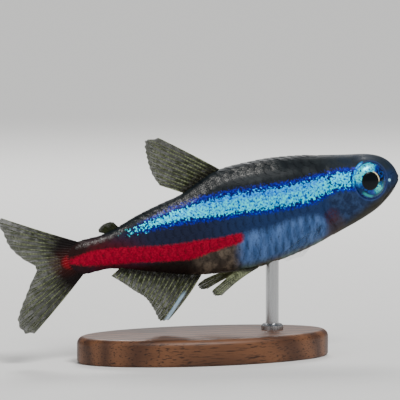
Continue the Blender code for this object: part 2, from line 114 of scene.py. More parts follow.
# Place, rise and radius of the front nostril, the rear nostril and the flap between them
NOSTRILS = (((0.68, 0.43), -0.13, 0.085), ((0.92, 0.37), -0.16, 0.1), ((0.8, 0.4), 0.05, 0.07))
GILL_EDGE_S = 7.85
GILL_EDGE_V = -0.9
GILL_EDGE_REACH = 2.2
GILL_EDGE_SPREAD = 2.0
GILL_TOP_V = 1.3
GILL_PLATE_RISE = 0.05
GILL_GROOVE_DEPTH = 0.10
CREASE_S = 5.75
CREASE_REACH = 0.9
CREASE_DEPTH = 0.035
CHEEK_RIM = ((5.55, -1.9), (7.45, -2.15))
CHEEK_RIM_DEPTH = 0.025
LIP_RISE = 0.10
LIP_WIDTH = 0.26
SLIT_DEPTH = 0.19
SLIT_WIDTH = 0.055
FOLD_DEPTH = 0.05
FOLD_WIDTH = 0.09

# Markings on each flank: distance from the snout and height
STRIPE_TOP = (
    (4.2, 1.35), (5.7, 1.6), (7.7, 1.66), (9.6, 1.67), (11.4, 1.76), (13.1, 1.91), (14.9, 2.06),
    (16.6, 2.11), (18.3, 2.06), (20.0, 1.86), (21.8, 1.6), (23.6, 1.4), (24.6, 1.12), (25.3, 0.88),
)
STRIPE_BOTTOM = (
    (4.2, 0.2), (5.2, 0.32), (6.1, 0.5), (7.1, 0.41), (8.1, 0.13), (10.0, 0.07), (11.8, 0.15),
    (13.6, 0.31), (15.3, 0.52), (17.0, 0.62), (18.7, 0.8), (20.3, 0.96), (22.0, 0.9), (24.6, 0.78),
    (25.3, 0.92),
)
RED_TOP = (
    (15.2, -1.35), (15.6, -1.16), (17.3, -1.12), (19.0, -0.92), (20.7, -0.83), (22.4, -0.63),
    (24.0, -0.33), (25.7, -0.03), (27.4, 0.19), (28.4, 0.22), (29.1, 0.12), (29.9, 0.02),
)
RED_BOTTOM = (
    (15.2, -1.75), (15.6, -2.09), (16.6, -2.17), (18.4, -2.36), (20.1, -2.54), (20.9, -2.4),
    (22.6, -2.12), (24.3, -1.78), (25.9, -1.5), (27.6, -1.21), (28.5, -1.06), (29.3, -0.79),
    (29.9, -0.62),
)
BELLY_TOP = (
    (6.9, -2.6), (7.9, -1.74), (9.0, -1.2), (11.1, -1.13), (13.0, -1.3), (15.2, -1.3), (16.2, -2.4),
    (17.4, -3.8),
)
BACK_LINE = tuple((row[0], row[1]) for row in BODY_STATIONS[4:])
SLIME_COAT = {"Specular IOR Level": 0.08, "Coat Weight": 0.03, "Coat Roughness": 0.16}

# Scales: sizes of one scale for a spacing of 1, and how far they differ and reach
SCALE_LENGTH = 1.8
SCALE_HALF_WIDTH = 0.6
SCALE_SLOPE = 0.032
SCALE_ARCH = 0.004
SIZE_SPREAD = (0.94, 1.06)
SCALE_SWING = 0.05
SCALE_REACH = 1.4
SCALES_START = 5.0
NARROWING = (14.0, 27.0)
BAKE_PATCH = (0.0017, 0.0025, 0.0)
FLANK_SPAN = 150.0
SHEET_LENGTH = 32.0
SHEET_HEIGHT = 24.0

# Fins: each outline has the share of the way from the first ray to the last, then the ray's tip
ROOT_GAP = 0.3
ROOT_DEPTH = 0.6
RAY_JOINT = 0.26
FIRST_FORK = 0.42
SECOND_FORK = 0.7
# Below this opacity a fin has no pigment; its rays are thinner by the share after it
CLEAR_FIN = 0.3
CLEAR_RAY = 0.45
DORSAL_BASE = (16.0, 19.4)
DORSAL_TIPS = (
    (0.0, 20.3, 7.92), (0.15, 21.4, 8.0), (0.35, 21.62, 7.2), (0.6, 21.6, 6.1), (0.8, 21.45, 5.1),
    (1.0, 21.0, 4.05),
)
ANAL_BASE = (19.3, 26.2)
ANAL_TIPS = (
    (0.0, 22.7, -7.1), (0.12, 23.4, -7.0), (0.3, 23.75, -5.9), (0.5, 24.2, -4.85),
    (0.7, 25.1, -3.95), (0.85, 25.9, -3.1), (1.0, 26.75, -2.3),
)
ADIPOSE_BASE = (25.2, 26.4)
ADIPOSE_SUNK = -0.1
ADIPOSE_TIPS = (
    (0.0, 25.6, 2.0), (0.2, 25.95, 2.1), (0.45, 26.4, 2.06), (0.7, 26.82, 1.86), (0.88, 27.02, 1.64),
    (1.0, 27.0, 1.46),
)
CAUDAL_TURNS = (20.0, 162.0)
CAUDAL_TIPS = (
    (0.0, 35.0, 4.62), (0.06, 35.45, 4.4), (0.14, 35.1, 3.4), (0.24, 34.9, 2.4), (0.33, 34.4, 1.5),
    (0.4, 33.75, 0.75), (0.48, 32.95, 0.0), (0.53, 32.9, -0.34), (0.6, 33.5, -1.2),
    (0.67, 34.1, -2.1), (0.76, 34.8, -3.1), (0.86, 35.3, -4.2), (0.94, 34.9, -5.2), (1.0, 34.1, -5.4),
)
PELVIC_BASE = (14.75, 16.05)
PELVIC_ROOT_Y = 0.72
PELVIC_SPLAY = 0.95
PELVIC_LEFT_LIFT = 0.25
PELVIC_TIPS = ((0.0, 18.2, -5.95), (0.3, 18.75, -5.85), (0.6, 18.95, -5.45), (1.0, 18.3, -5.1))
PECTORAL_BASE = ((8.35, -2.2), (8.6, -3.05))
PECTORAL_STANDOFF = 0.66
PECTORAL_SPLAY = 1.0
PECTORAL_TIPS = ((0.0, 12.5, -3.35), (0.25, 12.95, -3.75), (0.55, 12.5, -4.25), (1.0, 10.9, -4.25))

# Stand
BASE_FOOT = 0.25
COLLAR_SHARE = 1.7
COLLAR_SUNK = 0.4
COLLAR_HEIGHT = 0.5
COLLAR_BEVEL = 0.15
ROD_SUNK = 0.35

# The photo's view
CAMERA_AZIMUTH = -20.0
CAMERA_ELEVATION = 4.0
CAMERA_DISTANCE = 250.0
CAMERA_LOOK = (-0.347, 0.0, 13.288)
PICTURE_WIDTH = 33.34
SENSOR_WIDTH = 36.0


def paint(code):
    """A colour written as an sRGB hex value, as linear red, green, blue and full opacity."""
    channels = [int(code[i:i + 2], 16) / 255 for i in (1, 3, 5)]
    return tuple(c / 12.92 if c <= 0.04045 else ((c + 0.055) / 1.055) ** 2.4 for c in channels) + (1.0,)


def smooth_step(low, high, values):
    """0 below low, 1 above high and a soft turn between them."""
    share = np.clip((np.asarray(values, float) - low) / (high - low), 0.0, 1.0)
    return share * share * (3 - 2 * share)


def bump(values, width):
    """A round bump, 1 where the value is 0."""
    return np.exp(-((np.asarray(values, float) / width) ** 2))


def smooth_curve(places, values):
    """A curve through the points that never swings past them; it reads arrays."""
    places = np.array(places, float)
    values = np.array(values, float)
    steps = np.diff(places)
    slopes = np.diff(values) / steps
    tangents = np.concatenate(([slopes[0]], np.zeros(len(slopes) - 1), [slopes[-1]]))
    for i in range(1, len(slopes)):
        before, after = slopes[i - 1], slopes[i]
        tangents[i] = 0.0 if before * after <= 0 else 2 * before * after / (before + after)

    def read(place):
        place = np.asarray(place, float)
        i = np.clip(np.searchsorted(places, place) - 1, 0, len(steps) - 1)
        t = np.clip((place - places[i]) / steps[i], 0.0, 1.0)
        rise = steps[i] * (tangents[i] * t * (1 - t) ** 2 - tangents[i + 1] * t * t * (1 - t))
        return values[i] + (values[i + 1] - values[i]) * t * t * (3 - 2 * t) + rise

    return read


# Read along the square root of the distance, the sizes give the snout its round end
ROOTS = [math.sqrt(row[0]) for row in BODY_STATIONS]
BACK = smooth_curve(ROOTS, [row[1] for row in BODY_STATIONS])
BELLY = smooth_curve(ROOTS, [row[2] for row in BODY_STATIONS])
WIDTH = smooth_curve(ROOTS, [row[3] for row in BODY_STATIONS])


def section(s):
    """Back line, belly line, half width and the height of the widest point."""
    root = np.sqrt(np.maximum(s, 0.0))
    back, belly, width = BACK(root), BELLY(root), WIDTH(root)
    return back, belly, width, (back + belly) / 2 + WIDEST_RISE * (back - belly) / 2


def skin_height(s, y, upper):
    """Height of the back or the belly at a distance y from the middle."""
    back, belly, width, widest = section(s)
    reach = (back if upper else belly) - widest
    return widest + reach * np.sqrt(np.maximum(0.0, 1 - (y / width) ** 2))


def skin_side(s, v):
    """Distance of the flank from the middle at a height v."""
    back, belly, width, widest = section(s)
    reach = np.where(v > widest, back, belly) - widest
    return width * np.sqrt(np.maximum(0.0, 1 - ((v - widest) / reach) ** 2))


def gill_edge(v):
    """Distance from the snout of the gill cover's rear edge at a height v."""
    away = ((v - GILL_EDGE_V) / GILL_EDGE_SPREAD) ** 2
    return GILL_EDGE_S - GILL_EDGE_REACH * away / (1 + away)


def on_fish(places):
    """Places (s, v, y) in millimetres as points of the frame in metres."""
    s, v, y = np.moveaxis(np.asarray(places, float), -1, 0)
    tilt = math.radians(PITCH)
    x = SNOUT_X - s * math.cos(tilt) - v * math.sin(tilt)
    z = SNOUT_Z - s * math.sin(tilt) + v * math.cos(tilt)
    return np.stack([x, y, z], -1) * MM


def from_line(s, v, start, end):
    """Distance from a straight line on the side view, and the share of the way along it."""
    along = np.subtract(end, start)
    place_s, place_v = s - start[0], v - start[1]
    share = np.clip((place_s * along[0] + place_v * along[1]) / (along @ along), 0.0, 1.0)
    return np.hypot(place_s - along[0] * share, place_v - along[1] * share), share


def pit(places, centre, radius):
    """A round dip in the skin about a place on the side view, on both sides of the head."""
    s, v, y = np.moveaxis(places, -1, 0)
    away = np.sqrt((s - centre[0]) ** 2 + (v - centre[1]) ** 2 + (np.abs(y) - skin_side(*centre)) ** 2)
    return bump(away, radius)


def mouth_relief(s, v):
    """The lips, the slit between them and the fold behind the lower jaw."""
    away, share = from_line(s, v, MOUTH_FRONT, MOUTH_CORNER)
    lips = LIP_RISE * bump(away, LIP_WIDTH)
    slit = -SLIT_DEPTH * bump(away, SLIT_WIDTH) * smooth_step(1.02, 0.86, share)
    fold_away, fold_share = from_line(s, v, MOUTH_CORNER, JAW_FOLD_END)
    fold = -FOLD_DEPTH * bump(fold_away, FOLD_WIDTH) * smooth_step(1.0, 0.3, fold_share)
    return lips + slit + fold


def gill_relief(s, v):
    """The step at the gill cover's rear edge, the crease ahead of it and the cheek's rim."""
    behind = s - gill_edge(v)
    shown = smooth_step(GILL_TOP_V + 0.25, GILL_TOP_V - 0.35, v)
    plate = GILL_PLATE_RISE * smooth_step(-1.3, -0.15, behind) * smooth_step(0.09, 0.0, behind)
    groove = -GILL_GROOVE_DEPTH * smooth_step(0.0, 0.09, behind) * smooth_step(0.55, 0.12, behind)
    crease_s = CREASE_S - CREASE_REACH * ((v - GILL_EDGE_V) / 1.9) ** 2
    crease = -CREASE_DEPTH * bump(s - crease_s, 0.09) * smooth_step(-3.0, -2.4, v) * smooth_step(1.0, 0.5, v)
    lower_away, lower_share = from_line(s, v, *CHEEK_RIM)
    lower = -CHEEK_RIM_DEPTH * bump(lower_away, 0.07) * smooth_step(0.0, 0.2, lower_share)
    return (plate + groove) * shown * smooth_step(-3.35, -2.6, v) + crease + lower


def eye_axes(places):
    """Each place beside the eye: towards the snout, up, and outwards from the eye's rim."""
    s, v, y = np.moveaxis(places, -1, 0)
    ahead, out = EYE_S - s, np.abs(y) - EYE_RIM_Y
    a = ahead * math.cos(EYE_TURN) - out * math.sin(EYE_TURN)
    h = ahead * math.sin(EYE_TURN) + out * math.cos(EYE_TURN)
    return a, v - EYE_V, h


def from_eye_axes(a, b, h, side):
    """The place (s, v, y) of a point given about the eye."""
    s = EYE_S - (a * math.cos(EYE_TURN) + h * math.sin(EYE_TURN))
    y = side * (EYE_RIM_Y - a * math.sin(EYE_TURN) + h * math.cos(EYE_TURN))
    return np.stack(np.broadcast_arrays(s, b + EYE_V, y), -1)


def fit_orbit(places):
    """Bring the skin up to the rim of each eyeball, and under it inside the rim."""
    a, b, h = eye_axes(places)
    away = np.hypot(a, b)
    rim = 0.08
    inside = rim - 0.75 * smooth_step(0.0, 0.6, EYE_RADIUS - away)
    outside = rim + (h - rim) * smooth_step(0.0, 0.5, away - EYE_RADIUS)
    ring = 0.05 * bump(away - EYE_RADIUS - 0.12, 0.1) - 0.03 * bump(away - EYE_RADIUS - 0.62, 0.1)
    fitted = np.where(away < EYE_RADIUS, inside, outside) + ring
    near = (away < EYE_RADIUS + 1.0) & (h > -1.2) & (np.abs(places[..., 2]) > 0.05)
    moved = from_eye_axes(a, b, fitted, np.sign(places[..., 2]))
    return np.where(near[..., None], moved, places)


def skin_places(s, turn, inset):
    """The finished skin on a grid: distances from the snout down, turns round the body across.

    Turn 0 is the back and half a turn is the belly. The last row closes on the tail fin's root.
    """
    end = STEM_END_S + STEM_END_BULGE * np.abs(np.sin(turn))
    stretched = STEM_TAPER_S + (s - STEM_TAPER_S) * (end - STEM_TAPER_S) / (BODY_LENGTH - STEM_TAPER_S)
    s = np.where(s > STEM_TAPER_S, stretched, s)
    back, belly, width, widest = section(s)
    reach = np.where(np.cos(turn) > 0, back, belly) - widest
    closing = np.clip((s - (end - STEM_TAPER)) / STEM_TAPER, 0.0, 1.0)
    v = widest + reach * np.abs(np.cos(turn))
    y = width * np.sin(turn) * (1 - closing) ** STEM_TAPER_POWER
    plain = np.stack([s, v, y], -1)
    out = grid_normals(plain)
    scaled = smooth_step(0.0, 0.5, s - gill_edge(v) - 0.1) * smooth_step(6.3, 7.0, s)
    raised = mouth_relief(s, v) + gill_relief(s, v) - inset * scaled
    for centre, rise, radius in NOSTRILS:
        raised += rise * pit(plain, centre, radius)
    raised *= 1 - closing**2
    return fit_orbit(plain + out * raised[..., None])


def grid_normals(places):
    """Directions out of a grid of places that wraps round the body from left to right."""
    down = np.gradient(places, axis=0)
    across = np.gradient(places, axis=1)
    if wraps(places):
        across[:, 0] = (places[:, 1] - places[:, -1]) / 2
        across[:, -1] = (places[:, 0] - places[:, -2]) / 2
    else:
        across[:, 0], across[:, -1] = across[:, 1], across[:, -2]
    out = np.cross(down, across)
    length = np.linalg.norm(out, axis=-1, keepdims=True)
    out = np.where(length > 1e-12, out / np.maximum(length, 1e-12), [-1.0, 0.0, 0.0])
    middle = places.mean(axis=1, keepdims=True)
    facing = np.sum(out * (places - middle), axis=-1)
    return out if np.sum(facing) > 0 else -out


def wraps(places):
    """Whether the grid's last column lies beside its first."""
    step = np.linalg.norm(places[-1, 1] - places[-1, 0])
    return np.linalg.norm(places[len(places) // 2, -1] - places[len(places) // 2, 0]) < 4 * step + 0.4


def new_piece(name, points, faces, edges=()):
    """A mesh object at the origin, with its place in its mesh."""
    mesh = bpy.data.meshes.new(name)
    mesh.from_pydata(np.asarray(points).reshape(-1, 3).tolist(), list(edges), faces)
    piece = bpy.data.objects.new(name, mesh)
    bpy.context.scene.collection.objects.link(piece)
    return piece


def store_values(piece, name, values, kind="FLOAT", field="value"):
    """Store a value for each point of a piece, under a name that its nodes can read."""
    flat = np.asarray(values, np.float32).ravel()
    piece.data.attributes.new(name, kind, "POINT").data.foreach_set(field, flat)


def grid_faces(rows, columns, closed=False):
    """Four-sided faces of a grid; a closed one joins its last column to its first."""
    across = columns if closed else columns - 1
    faces = []
    for i in range(rows - 1):
        for k in range(across):
            a, b = i * columns + k, i * columns + (k + 1) % columns
            faces.append((a, b, b + columns, a + columns))
    return faces


def mend(piece, distance=1e-7):
    """Merge doubled points and turn every face outwards."""
    shape = bmesh.new()
    shape.from_mesh(piece.data)
    bmesh.ops.remove_doubles(shape, verts=shape.verts, dist=distance)
    bmesh.ops.dissolve_degenerate(shape, dist=distance, edges=shape.edges)
    bmesh.ops.recalc_face_normals(shape, faces=shape.faces)
    shape.to_mesh(piece.data)
    shape.free()


def finish_piece(piece, material, replaced=()):
    """Shade a piece, give it its material and slot, and fix it to the frame."""
    piece.data.shade_smooth()
    if material:
        piece.data.materials.clear()
        piece.data.materials.append(material)
    piece.data.name = piece.name
    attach(piece, "root")
    if replaced:
        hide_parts(*replaced)
    return piece


OPERATIONS = (
    "absolute", "add", "arctan2", "divide", "floor", "maximum", "minimum", "modulo", "multiply",
    "multiply_add", "power", "sine", "sqrt", "subtract",
)
CHAINED = ("add", "maximum", "minimum", "multiply")
# Short names of nodes: the type, its settings, inputs that stay, inputs filled in order, and the output
NODES = {
    "blend": ("ShaderNodeMix", {"data_type": "RGBA"}, {}, (0, 6, 7), 2),
    "step": ("ShaderNodeMapRange", {"interpolation_type": "SMOOTHSTEP"}, {}, (0, 1, 2), 0),
    "range": ("ShaderNodeMapRange", {}, {}, ("Value", "To Min", "To Max"), 0),
    "noise": ("ShaderNodeTexNoise", {}, {"Roughness": 0.55}, ("Vector", "Scale", "Detail"), 0),
    "plain_noise": ("ShaderNodeTexNoise", {}, {}, ("Vector", "Scale", "Detail"), 0),
    "stretch": ("ShaderNodeMapping", {}, {}, ("Vector", "Scale", "Rotation"), 0),
    "bump": ("ShaderNodeBump", {}, {}, ("Height", "Strength", "Distance", "Filter Width"), 0),
    "attribute": ("ShaderNodeAttribute", {}, {}, (), "Fac"),
    "join": ("ShaderNodeCombineXYZ", {}, {}, (0, 1, 2), 0),
    "named": ("GeometryNodeInputNamedAttribute", {"data_type": "FLOAT_VECTOR"}, {}, ("Name",), 0),
    "store": ("GeometryNodeStoreNamedAttribute", {"domain": "POINT"}, {}, ("Geometry", "Name", "Value"), 0),
    "random": ("FunctionNodeRandomValue", {"data_type": "FLOAT"}, {}, ("Seed", "Min", "Max"), 1),
}
for sum_name in OPERATIONS:
    NODES[sum_name] = ("ShaderNodeMath", {"operation": sum_name.upper()}, {}, (0, 1, 2), 0)


def fill(node, inputs):
    """Link or set the inputs of a node; a colour may be given by its hex code."""
    for key, value in inputs.items():
        if isinstance(value, bpy.types.NodeSocket):
            node.id_data.links.new(value, node.inputs[key])
        elif isinstance(value, str) and value.startswith("#"):
            node.inputs[key].default_value = paint(value)
        else:
            node.inputs[key].default_value = value


def add(tree, kind, *values, **settings):
    """Add a node, set its properties, and fill or link its inputs.

    A short name of NODES takes its inputs in order and gives its output. A node type takes its
    inputs as one dictionary and gives the node. "step" rises softly from 0 at its second input
    to 1 at its third, or falls where they are the other way round. The CHAINED sums take any
    number of values.
    """
    if kind in CHAINED and len(values) > 2:
        values = (add(tree, kind, *values[:-1]), values[-1])
    node_type, fixed, kept, order, output = NODES.get(kind, (kind, {}, {}, None, None))
    node = tree.nodes.new(node_type)
    for name, value in {**fixed, **settings}.items():
        setattr(node, name, value)
    given = dict(*values) if order is None else dict(zip(order, values))
    fill(node, {**kept, **given})
    return node if output is None else node.outputs[output]


def new_material(name):
    """An empty material, the function that adds its nodes, and its main shader."""
    material = bpy.data.materials.new(name)
    material.use_nodes = True
    material.node_tree.nodes.clear()
    put = partial(add, material.node_tree)
    shader = put("ShaderNodeBsdfPrincipled")
    put("ShaderNodeOutputMaterial", {"Surface": shader.outputs["BSDF"]})
    return material, put, shader


def new_tree(name, sockets):
    """A Geometry Nodes tree with a mesh in and out.

    Returns the tree, the function that adds its nodes, the sockets that it gets and its output node.
    """
    tree = bpy.data.node_groups.new(name, "GeometryNodeTree")
    tree.interface.new_socket("Geometry", in_out="INPUT", socket_type="NodeSocketGeometry")
    tree.interface.new_socket("Geometry", in_out="OUTPUT", socket_type="NodeSocketGeometry")
    for socket_name, kind in sockets:
        tree.interface.new_socket(socket_name, in_out="INPUT", socket_type="NodeSocket" + kind)
    put = partial(add, tree)
    return tree, put, put("NodeGroupInput").outputs, put("NodeGroupOutput")


def end_tree(put, solid, finish, end):
    """Shade a tree's mesh smooth, give it its material and hand it out."""
    smooth = put("GeometryNodeSetShadeSmooth", {"Geometry": solid}).outputs[0]
    fill(end, {0: put("GeometryNodeSetMaterial", {"Geometry": smooth, "Material": finish}).outputs[0]})


def apply_tree(piece, tree, values):
    """Run a Geometry Nodes tree on a piece and keep the result as its mesh."""
    modifier = piece.modifiers.new(tree.name, "NODES")
    modifier.node_group = tree
    for item in tree.interface.items_tree:
        if item.in_out == "INPUT" and item.name in values:
            modifier[item.identifier] = values[item.name]
    graph = bpy.context.evaluated_depsgraph_get()
    made = piece.evaluated_get(graph)
    mesh = bpy.data.meshes.new_from_object(made, preserve_all_data_layers=True, depsgraph=graph)
    if not mesh.polygons:
        raise RuntimeError(f"{tree.name} made nothing for {piece.name}")
    piece.modifiers.clear()
    piece.data = mesh


def size_setting(name, description, millimetres):
    """A length as an add-on setting."""
    return FloatProperty(name=name, description=description, default=millimetres * MM, unit="LENGTH")


def colour_setting(name, description, code):
    """A colour as an add-on setting."""
    return FloatVectorProperty(
        name=name, description=description, default=paint(code), size=4, subtype="COLOR"
    )


class NeonSkinSettings(bpy.types.PropertyGroup):
    """Sizes and colours of the skin and its markings."""

    coat_depth: size_setting("Scale coat depth", "How far the skin lies under its scales' outline", 0.035)
    grain: size_setting("Stripe grain", "Size of the bright grains in the blue stripe", 0.165)
    back: colour_setting("Back", "Dark grey of the back", "#141A1E")
    flank: colour_setting("Flank", "Slate indigo between the stripe and the belly", "#1C3158")
    belly: colour_setting("Belly", "Steel blue of the belly's sides", "#5676AC")
    underside: colour_setting("Underside", "Greenish silver of the belly's lower edge", "#5C6C64")
    stripe: colour_setting("Stripe", "Bright cyan of the side stripe", "#00C0FC")
    fringe: colour_setting("Stripe edge", "Royal blue along the stripe", "#121CAC")
    red: colour_setting("Red band", "Red of the rear half of the flank", "#A2002A")
    chin: colour_setting("Chin", "Olive silver of the chin and throat", "#2C2A22")
    cheek: colour_setting("Cheek", "Slate blue of the cheek and gill cover", "#2C4064")


class NeonScaleSettings(bpy.types.PropertyGroup):
    """Sizes of the scales."""

    spacing: size_setting("Spacing", "Distance between scales along one row", 0.71)
    row_height: size_setting("Row height", "Distance between rows at the middle of the body", 0.98)
    tail_row_height: size_setting("Row height at the tail", "Distance between rows at the tail's root", 0.6)
    thickness: size_setting("Thickness", "Thickness of one scale", 0.012)
    seed: IntProperty(name="Seed", description="Number that fixes the scales' small differences", default=7)


class NeonEyeSettings(bpy.types.PropertyGroup):
    """Sizes and colours of the eyes."""

    pupil: size_setting("Pupil radius", "Radius of the dark pupil", 0.77)
    iris: size_setting("Iris radius", "Radius of the shining iris", 1.4)
    bright: colour_setting("Bright iris", "Cyan of the iris above and behind the pupil", "#4CFCFF")
    dark: colour_setting("Dark iris", "Near black of the iris ahead of the pupil", "#02040A")


class NeonFinSettings(bpy.types.PropertyGroup):
    """Sizes and colours of the fins."""

    membrane: size_setting("Membrane thickness", "Thickness of the clear skin between the rays", 0.06)
    ray: size_setting("Ray radius", "Radius of a ray where it leaves the body", 0.078)
    clear: FloatProperty(
        name="Opacity", description="Opacity of the membrane", default=0.74, min=0.0, max=1.0,
        subtype="FACTOR",
    )
    tint: colour_setting("Membrane", "Dusky olive of the membrane", "#1C2010")
    ray_colour: colour_setting("Rays", "Pale olive of the rays", "#767C5C")


class NeonStandSettings(bpy.types.PropertyGroup):
    """Sizes and colours of the display stand."""

    bevel: size_setting("Edge", "Radius of the base's upper edge", 0.6)
    light_wood: colour_setting("Light grain", "Light wood between the grain lines", "#6E472D")
    dark_wood: colour_setting("Dark grain", "Dark grain lines", "#482B1A")


class NeonStageSettings(bpy.types.PropertyGroup):
    """Sizes and colours of the studio."""

    floor_size: size_setting("Floor width", "Width of the floor", 40000.0)
    floor: colour_setting("Floor", "Pale matt floor", "#E4E3E0")


def edge_height(put, s, points):
    """Height of a marking's edge at each distance from the snout; -6 to 6 mm fits the curve's range."""
    node = put("ShaderNodeFloatCurve", {"Value": put("divide", s, BODY_LENGTH)})
    curve = node.mapping.curves[0]
    first, *others, last = [(place / BODY_LENGTH, (height + 6) / 12) for place, height in points]
    curve.points[0].location = first
    curve.points[1].location = last
    for place in others:
        curve.points.new(*place)
    node.mapping.update()
    return put("multiply_add", node.outputs[0], 12.0, -6.0)


def fish_coordinates(put):
    """The fish's own frame in millimetres: the place as a vector, then s, y and v."""
    inputs = {
        "Vector": put("ShaderNodeTexCoord").outputs["Object"],
        "Location": (SNOUT_X * MM, 0.0, SNOUT_Z * MM),
        "Rotation": (0.0, math.radians(-PITCH), 0.0),
        "Scale": (MM, MM, MM),
    }
    turned = put("ShaderNodeMapping", inputs, vector_type="TEXTURE").outputs[0]
    split = put("ShaderNodeSeparateXYZ", {0: turned})
    return turned, put("multiply", split.outputs[0], -1.0), split.outputs[1], split.outputs[2]


def between(put, v, top, bottom):
    """How deep a place lies inside a marking, in millimetres; negative outside it."""
    return put("minimum", put("subtract", top, v), put("subtract", v, bottom))


def graded(put, value, low, high, first, second):
    """The first colour, which turns into the second as a value goes from low to high."""
    return put("blend", put("step", value, low, high), first, second)


def mask(put, *steps):
    """A product of soft steps, each given as a value, where it is 0 and where it is 1."""
    return put("multiply", *(put("step", *step) for step in steps))


def overlay(put, colour, layers):
    """Lay colours over a first one, each by its mask."""
    for share, tone in layers:
        colour = put("blend", share, colour, tone)
    return colour


def distance_from(put, s, v, centre):
    """Distance from a place on the side view."""
    along = put("subtract", s, centre[0])
    up = put("subtract", v, centre[1])
    return put("sqrt", put("multiply_add", along, along, put("multiply", up, up)))


def spot(put, s, v, centre, radius):
    """1 at a place on the side view, fading out at a radius."""
    return put("step", distance_from(put, s, v, centre), radius, radius * 0.4)


def markings(put, settings):
    """The fish's colours by place. Returns the colour, the stripe's mask, the place and the band of the
    scales' painted glints.

    Masks are steps over s and v, in millimetres, roughened by fine noise. The colours are laid over
    each other in the order of the layers at the end.
    """
    place, s, y, v = fish_coordinates(put)
    speckle = put("noise", place, 1 / (settings.grain / MM), 3.0)
    dots = put("noise", place, 1 / 0.13, 2.0)
    blotch = put("noise", place, 1 / 0.9, 4.0)
    fine = put("subtract", speckle, 0.5)

    # The stripe with its fringe, open at the eye and the gill cover's edge and ragged at the tail
    stripe_top = edge_height(put, s, STRIPE_TOP)
    stripe_low = edge_height(put, s, STRIPE_BOTTOM)
    over_top = put("subtract", v, stripe_top)
    from_eye = distance_from(put, s, v, (EYE_S, EYE_V))
    gill_gap = put("absolute", put("subtract", s, 6.93))
    inside = put(
        "minimum", between(put, v, stripe_top, stripe_low), put("subtract", from_eye, 1.98),
        put("subtract", s, 3.6), put("subtract", gill_gap, 0.02),
    )
    fading = put("step", s, 20.5, 25.3)
    worn = put("subtract", inside, put("multiply", fading, 0.42))
    ragged = put("multiply_add", fine, put("multiply_add", fading, 2.4, 1.6), worn)
    stripe = put("step", ragged, -0.02, 0.16)
    fringe = put("step", put("multiply_add", fine, 0.8, worn), -0.5, -0.2)
    fringe = put("multiply", fringe, put("step", s, 25.8, 22.8))
    fringe_tone = graded(put, speckle, 0.42, 0.6, "#080E5C", settings.fringe)
    upper = put("step", put("subtract", v, stripe_low), 0.7, 1.4)
    cyan = put("blend", upper, settings.stripe, "#108CF4")
    cyan = graded(put, speckle, 0.47, 0.37, cyan, "#0438A8")
    bright = put("multiply", put("step", speckle, 0.49, 0.6), put("multiply_add", upper, -0.6, 1.0))
    cyan = put("blend", bright, cyan, "#0CFCFF")

    # Back, belly and underside
    over = put("step", over_top, -0.2, 0.4)
    back_tone = graded(put, s, 7.5, 4.0, settings.back, "#202B38")
    paler = put("multiply", over, put("step", blotch, 0.42, 0.66), 0.5)
    belly_edge = put("multiply_add", fine, 0.5, put("subtract", edge_height(put, s, BELLY_TOP), v))
    belly = mask(put, (belly_edge, -0.3, 0.55), (s, 6.8, 8.4), (s, 17.2, 15.4))
    streak = put("noise", put("stretch", place, (1.6, 0.5, 0.35)), 1 / 0.8, 3.0)
    belly_tone = graded(put, streak, 0.35, 0.7, "#32507E", settings.belly)
    low_edge = mask(put, (put("absolute", y), 1.35, 0.6), (v, -2.4, -3.4))
    under_tone = graded(put, blotch, 0.35, 0.62, settings.underside, "#4A3C2C")
    under_tone = graded(put, s, 14.5, 17.0, under_tone, "#3A342C")
    rear_low = mask(put, (s, 15.2, 16.6), (v, -1.4, -2.4))
    rear_tone = graded(put, blotch, 0.4, 0.6, "#3C342E", "#62564A")
    rear_tone = graded(put, s, 18.4, 20.6, rear_tone, "#1A1210")

    # Head and throat
    head = (s, 7.8, 7.0)
    cheek = mask(put, head, (v, 0.4, -0.3))
    cheek_tone = graded(put, put("noise", place, 1 / 0.45, 4.0), 0.35, 0.7, "#1A2844", settings.cheek)
    chin = mask(put, (put("multiply_add", s, 0.42, v), 0.3, -0.75), head)
    warm_throat = put("multiply", spot(put, s, v, (6.9, -2.75), 1.3), 0.55)
    throat_stain = spot(put, s, v, (7.25, -1.75), 0.95)
    throat_stain = put("multiply", throat_stain, put("step", speckle, 0.3, 0.62), 0.75)
    snout = put("step", s, 1.2, 0.1)
    # Painted highlight: a small pale blue spot ahead of the eye, where the nostril catches the light
    painted_nostril_glint = spot(put, s, v, (1.25, -0.07), 0.17)

    # Red band and the tail's stem
    stem_end = put("step", put("add", s, fine), 27.6, 28.9)
    red_depth = between(put, v, edge_height(put, s, RED_TOP), edge_height(put, s, RED_BOTTOM))
    plum = mask(put, (red_depth, -1.3, 0.1), (s, 22.5, 26.5))
    plum = put("multiply", plum, put("multiply_add", stem_end, -0.75, 0.9))
    rough_depth, rough_s = put("multiply_add", fine, 0.35, red_depth), put("multiply_add", fine, -3.0, s)
    red = mask(put, (rough_depth, -0.07, 0.2), (s, 15.1, 15.6), (rough_s, 31.2, 29.6))
    red_tone = graded(put, speckle, 0.3, 0.7, "#80001C", settings.red)
    pigment = put("multiply", put("step", dots, 0.56, 0.7), 0.45)

    # The rim of the orbit, with the stripe's colour on its upper rear side
    off_rim = put("absolute", put("subtract", from_eye, 1.62))
    ring = put("multiply", put("step", off_rim, 0.14, 0.06), 0.4)
    upper_rear = put("multiply_add", s, 0.8, put("multiply", v, 0.6))
    halo_start = EYE_S * 0.8 + EYE_V * 0.6 + 1.2
    halo = mask(put, (off_rim, 0.22, 0.12), (upper_rear, halo_start, halo_start + 0.35))

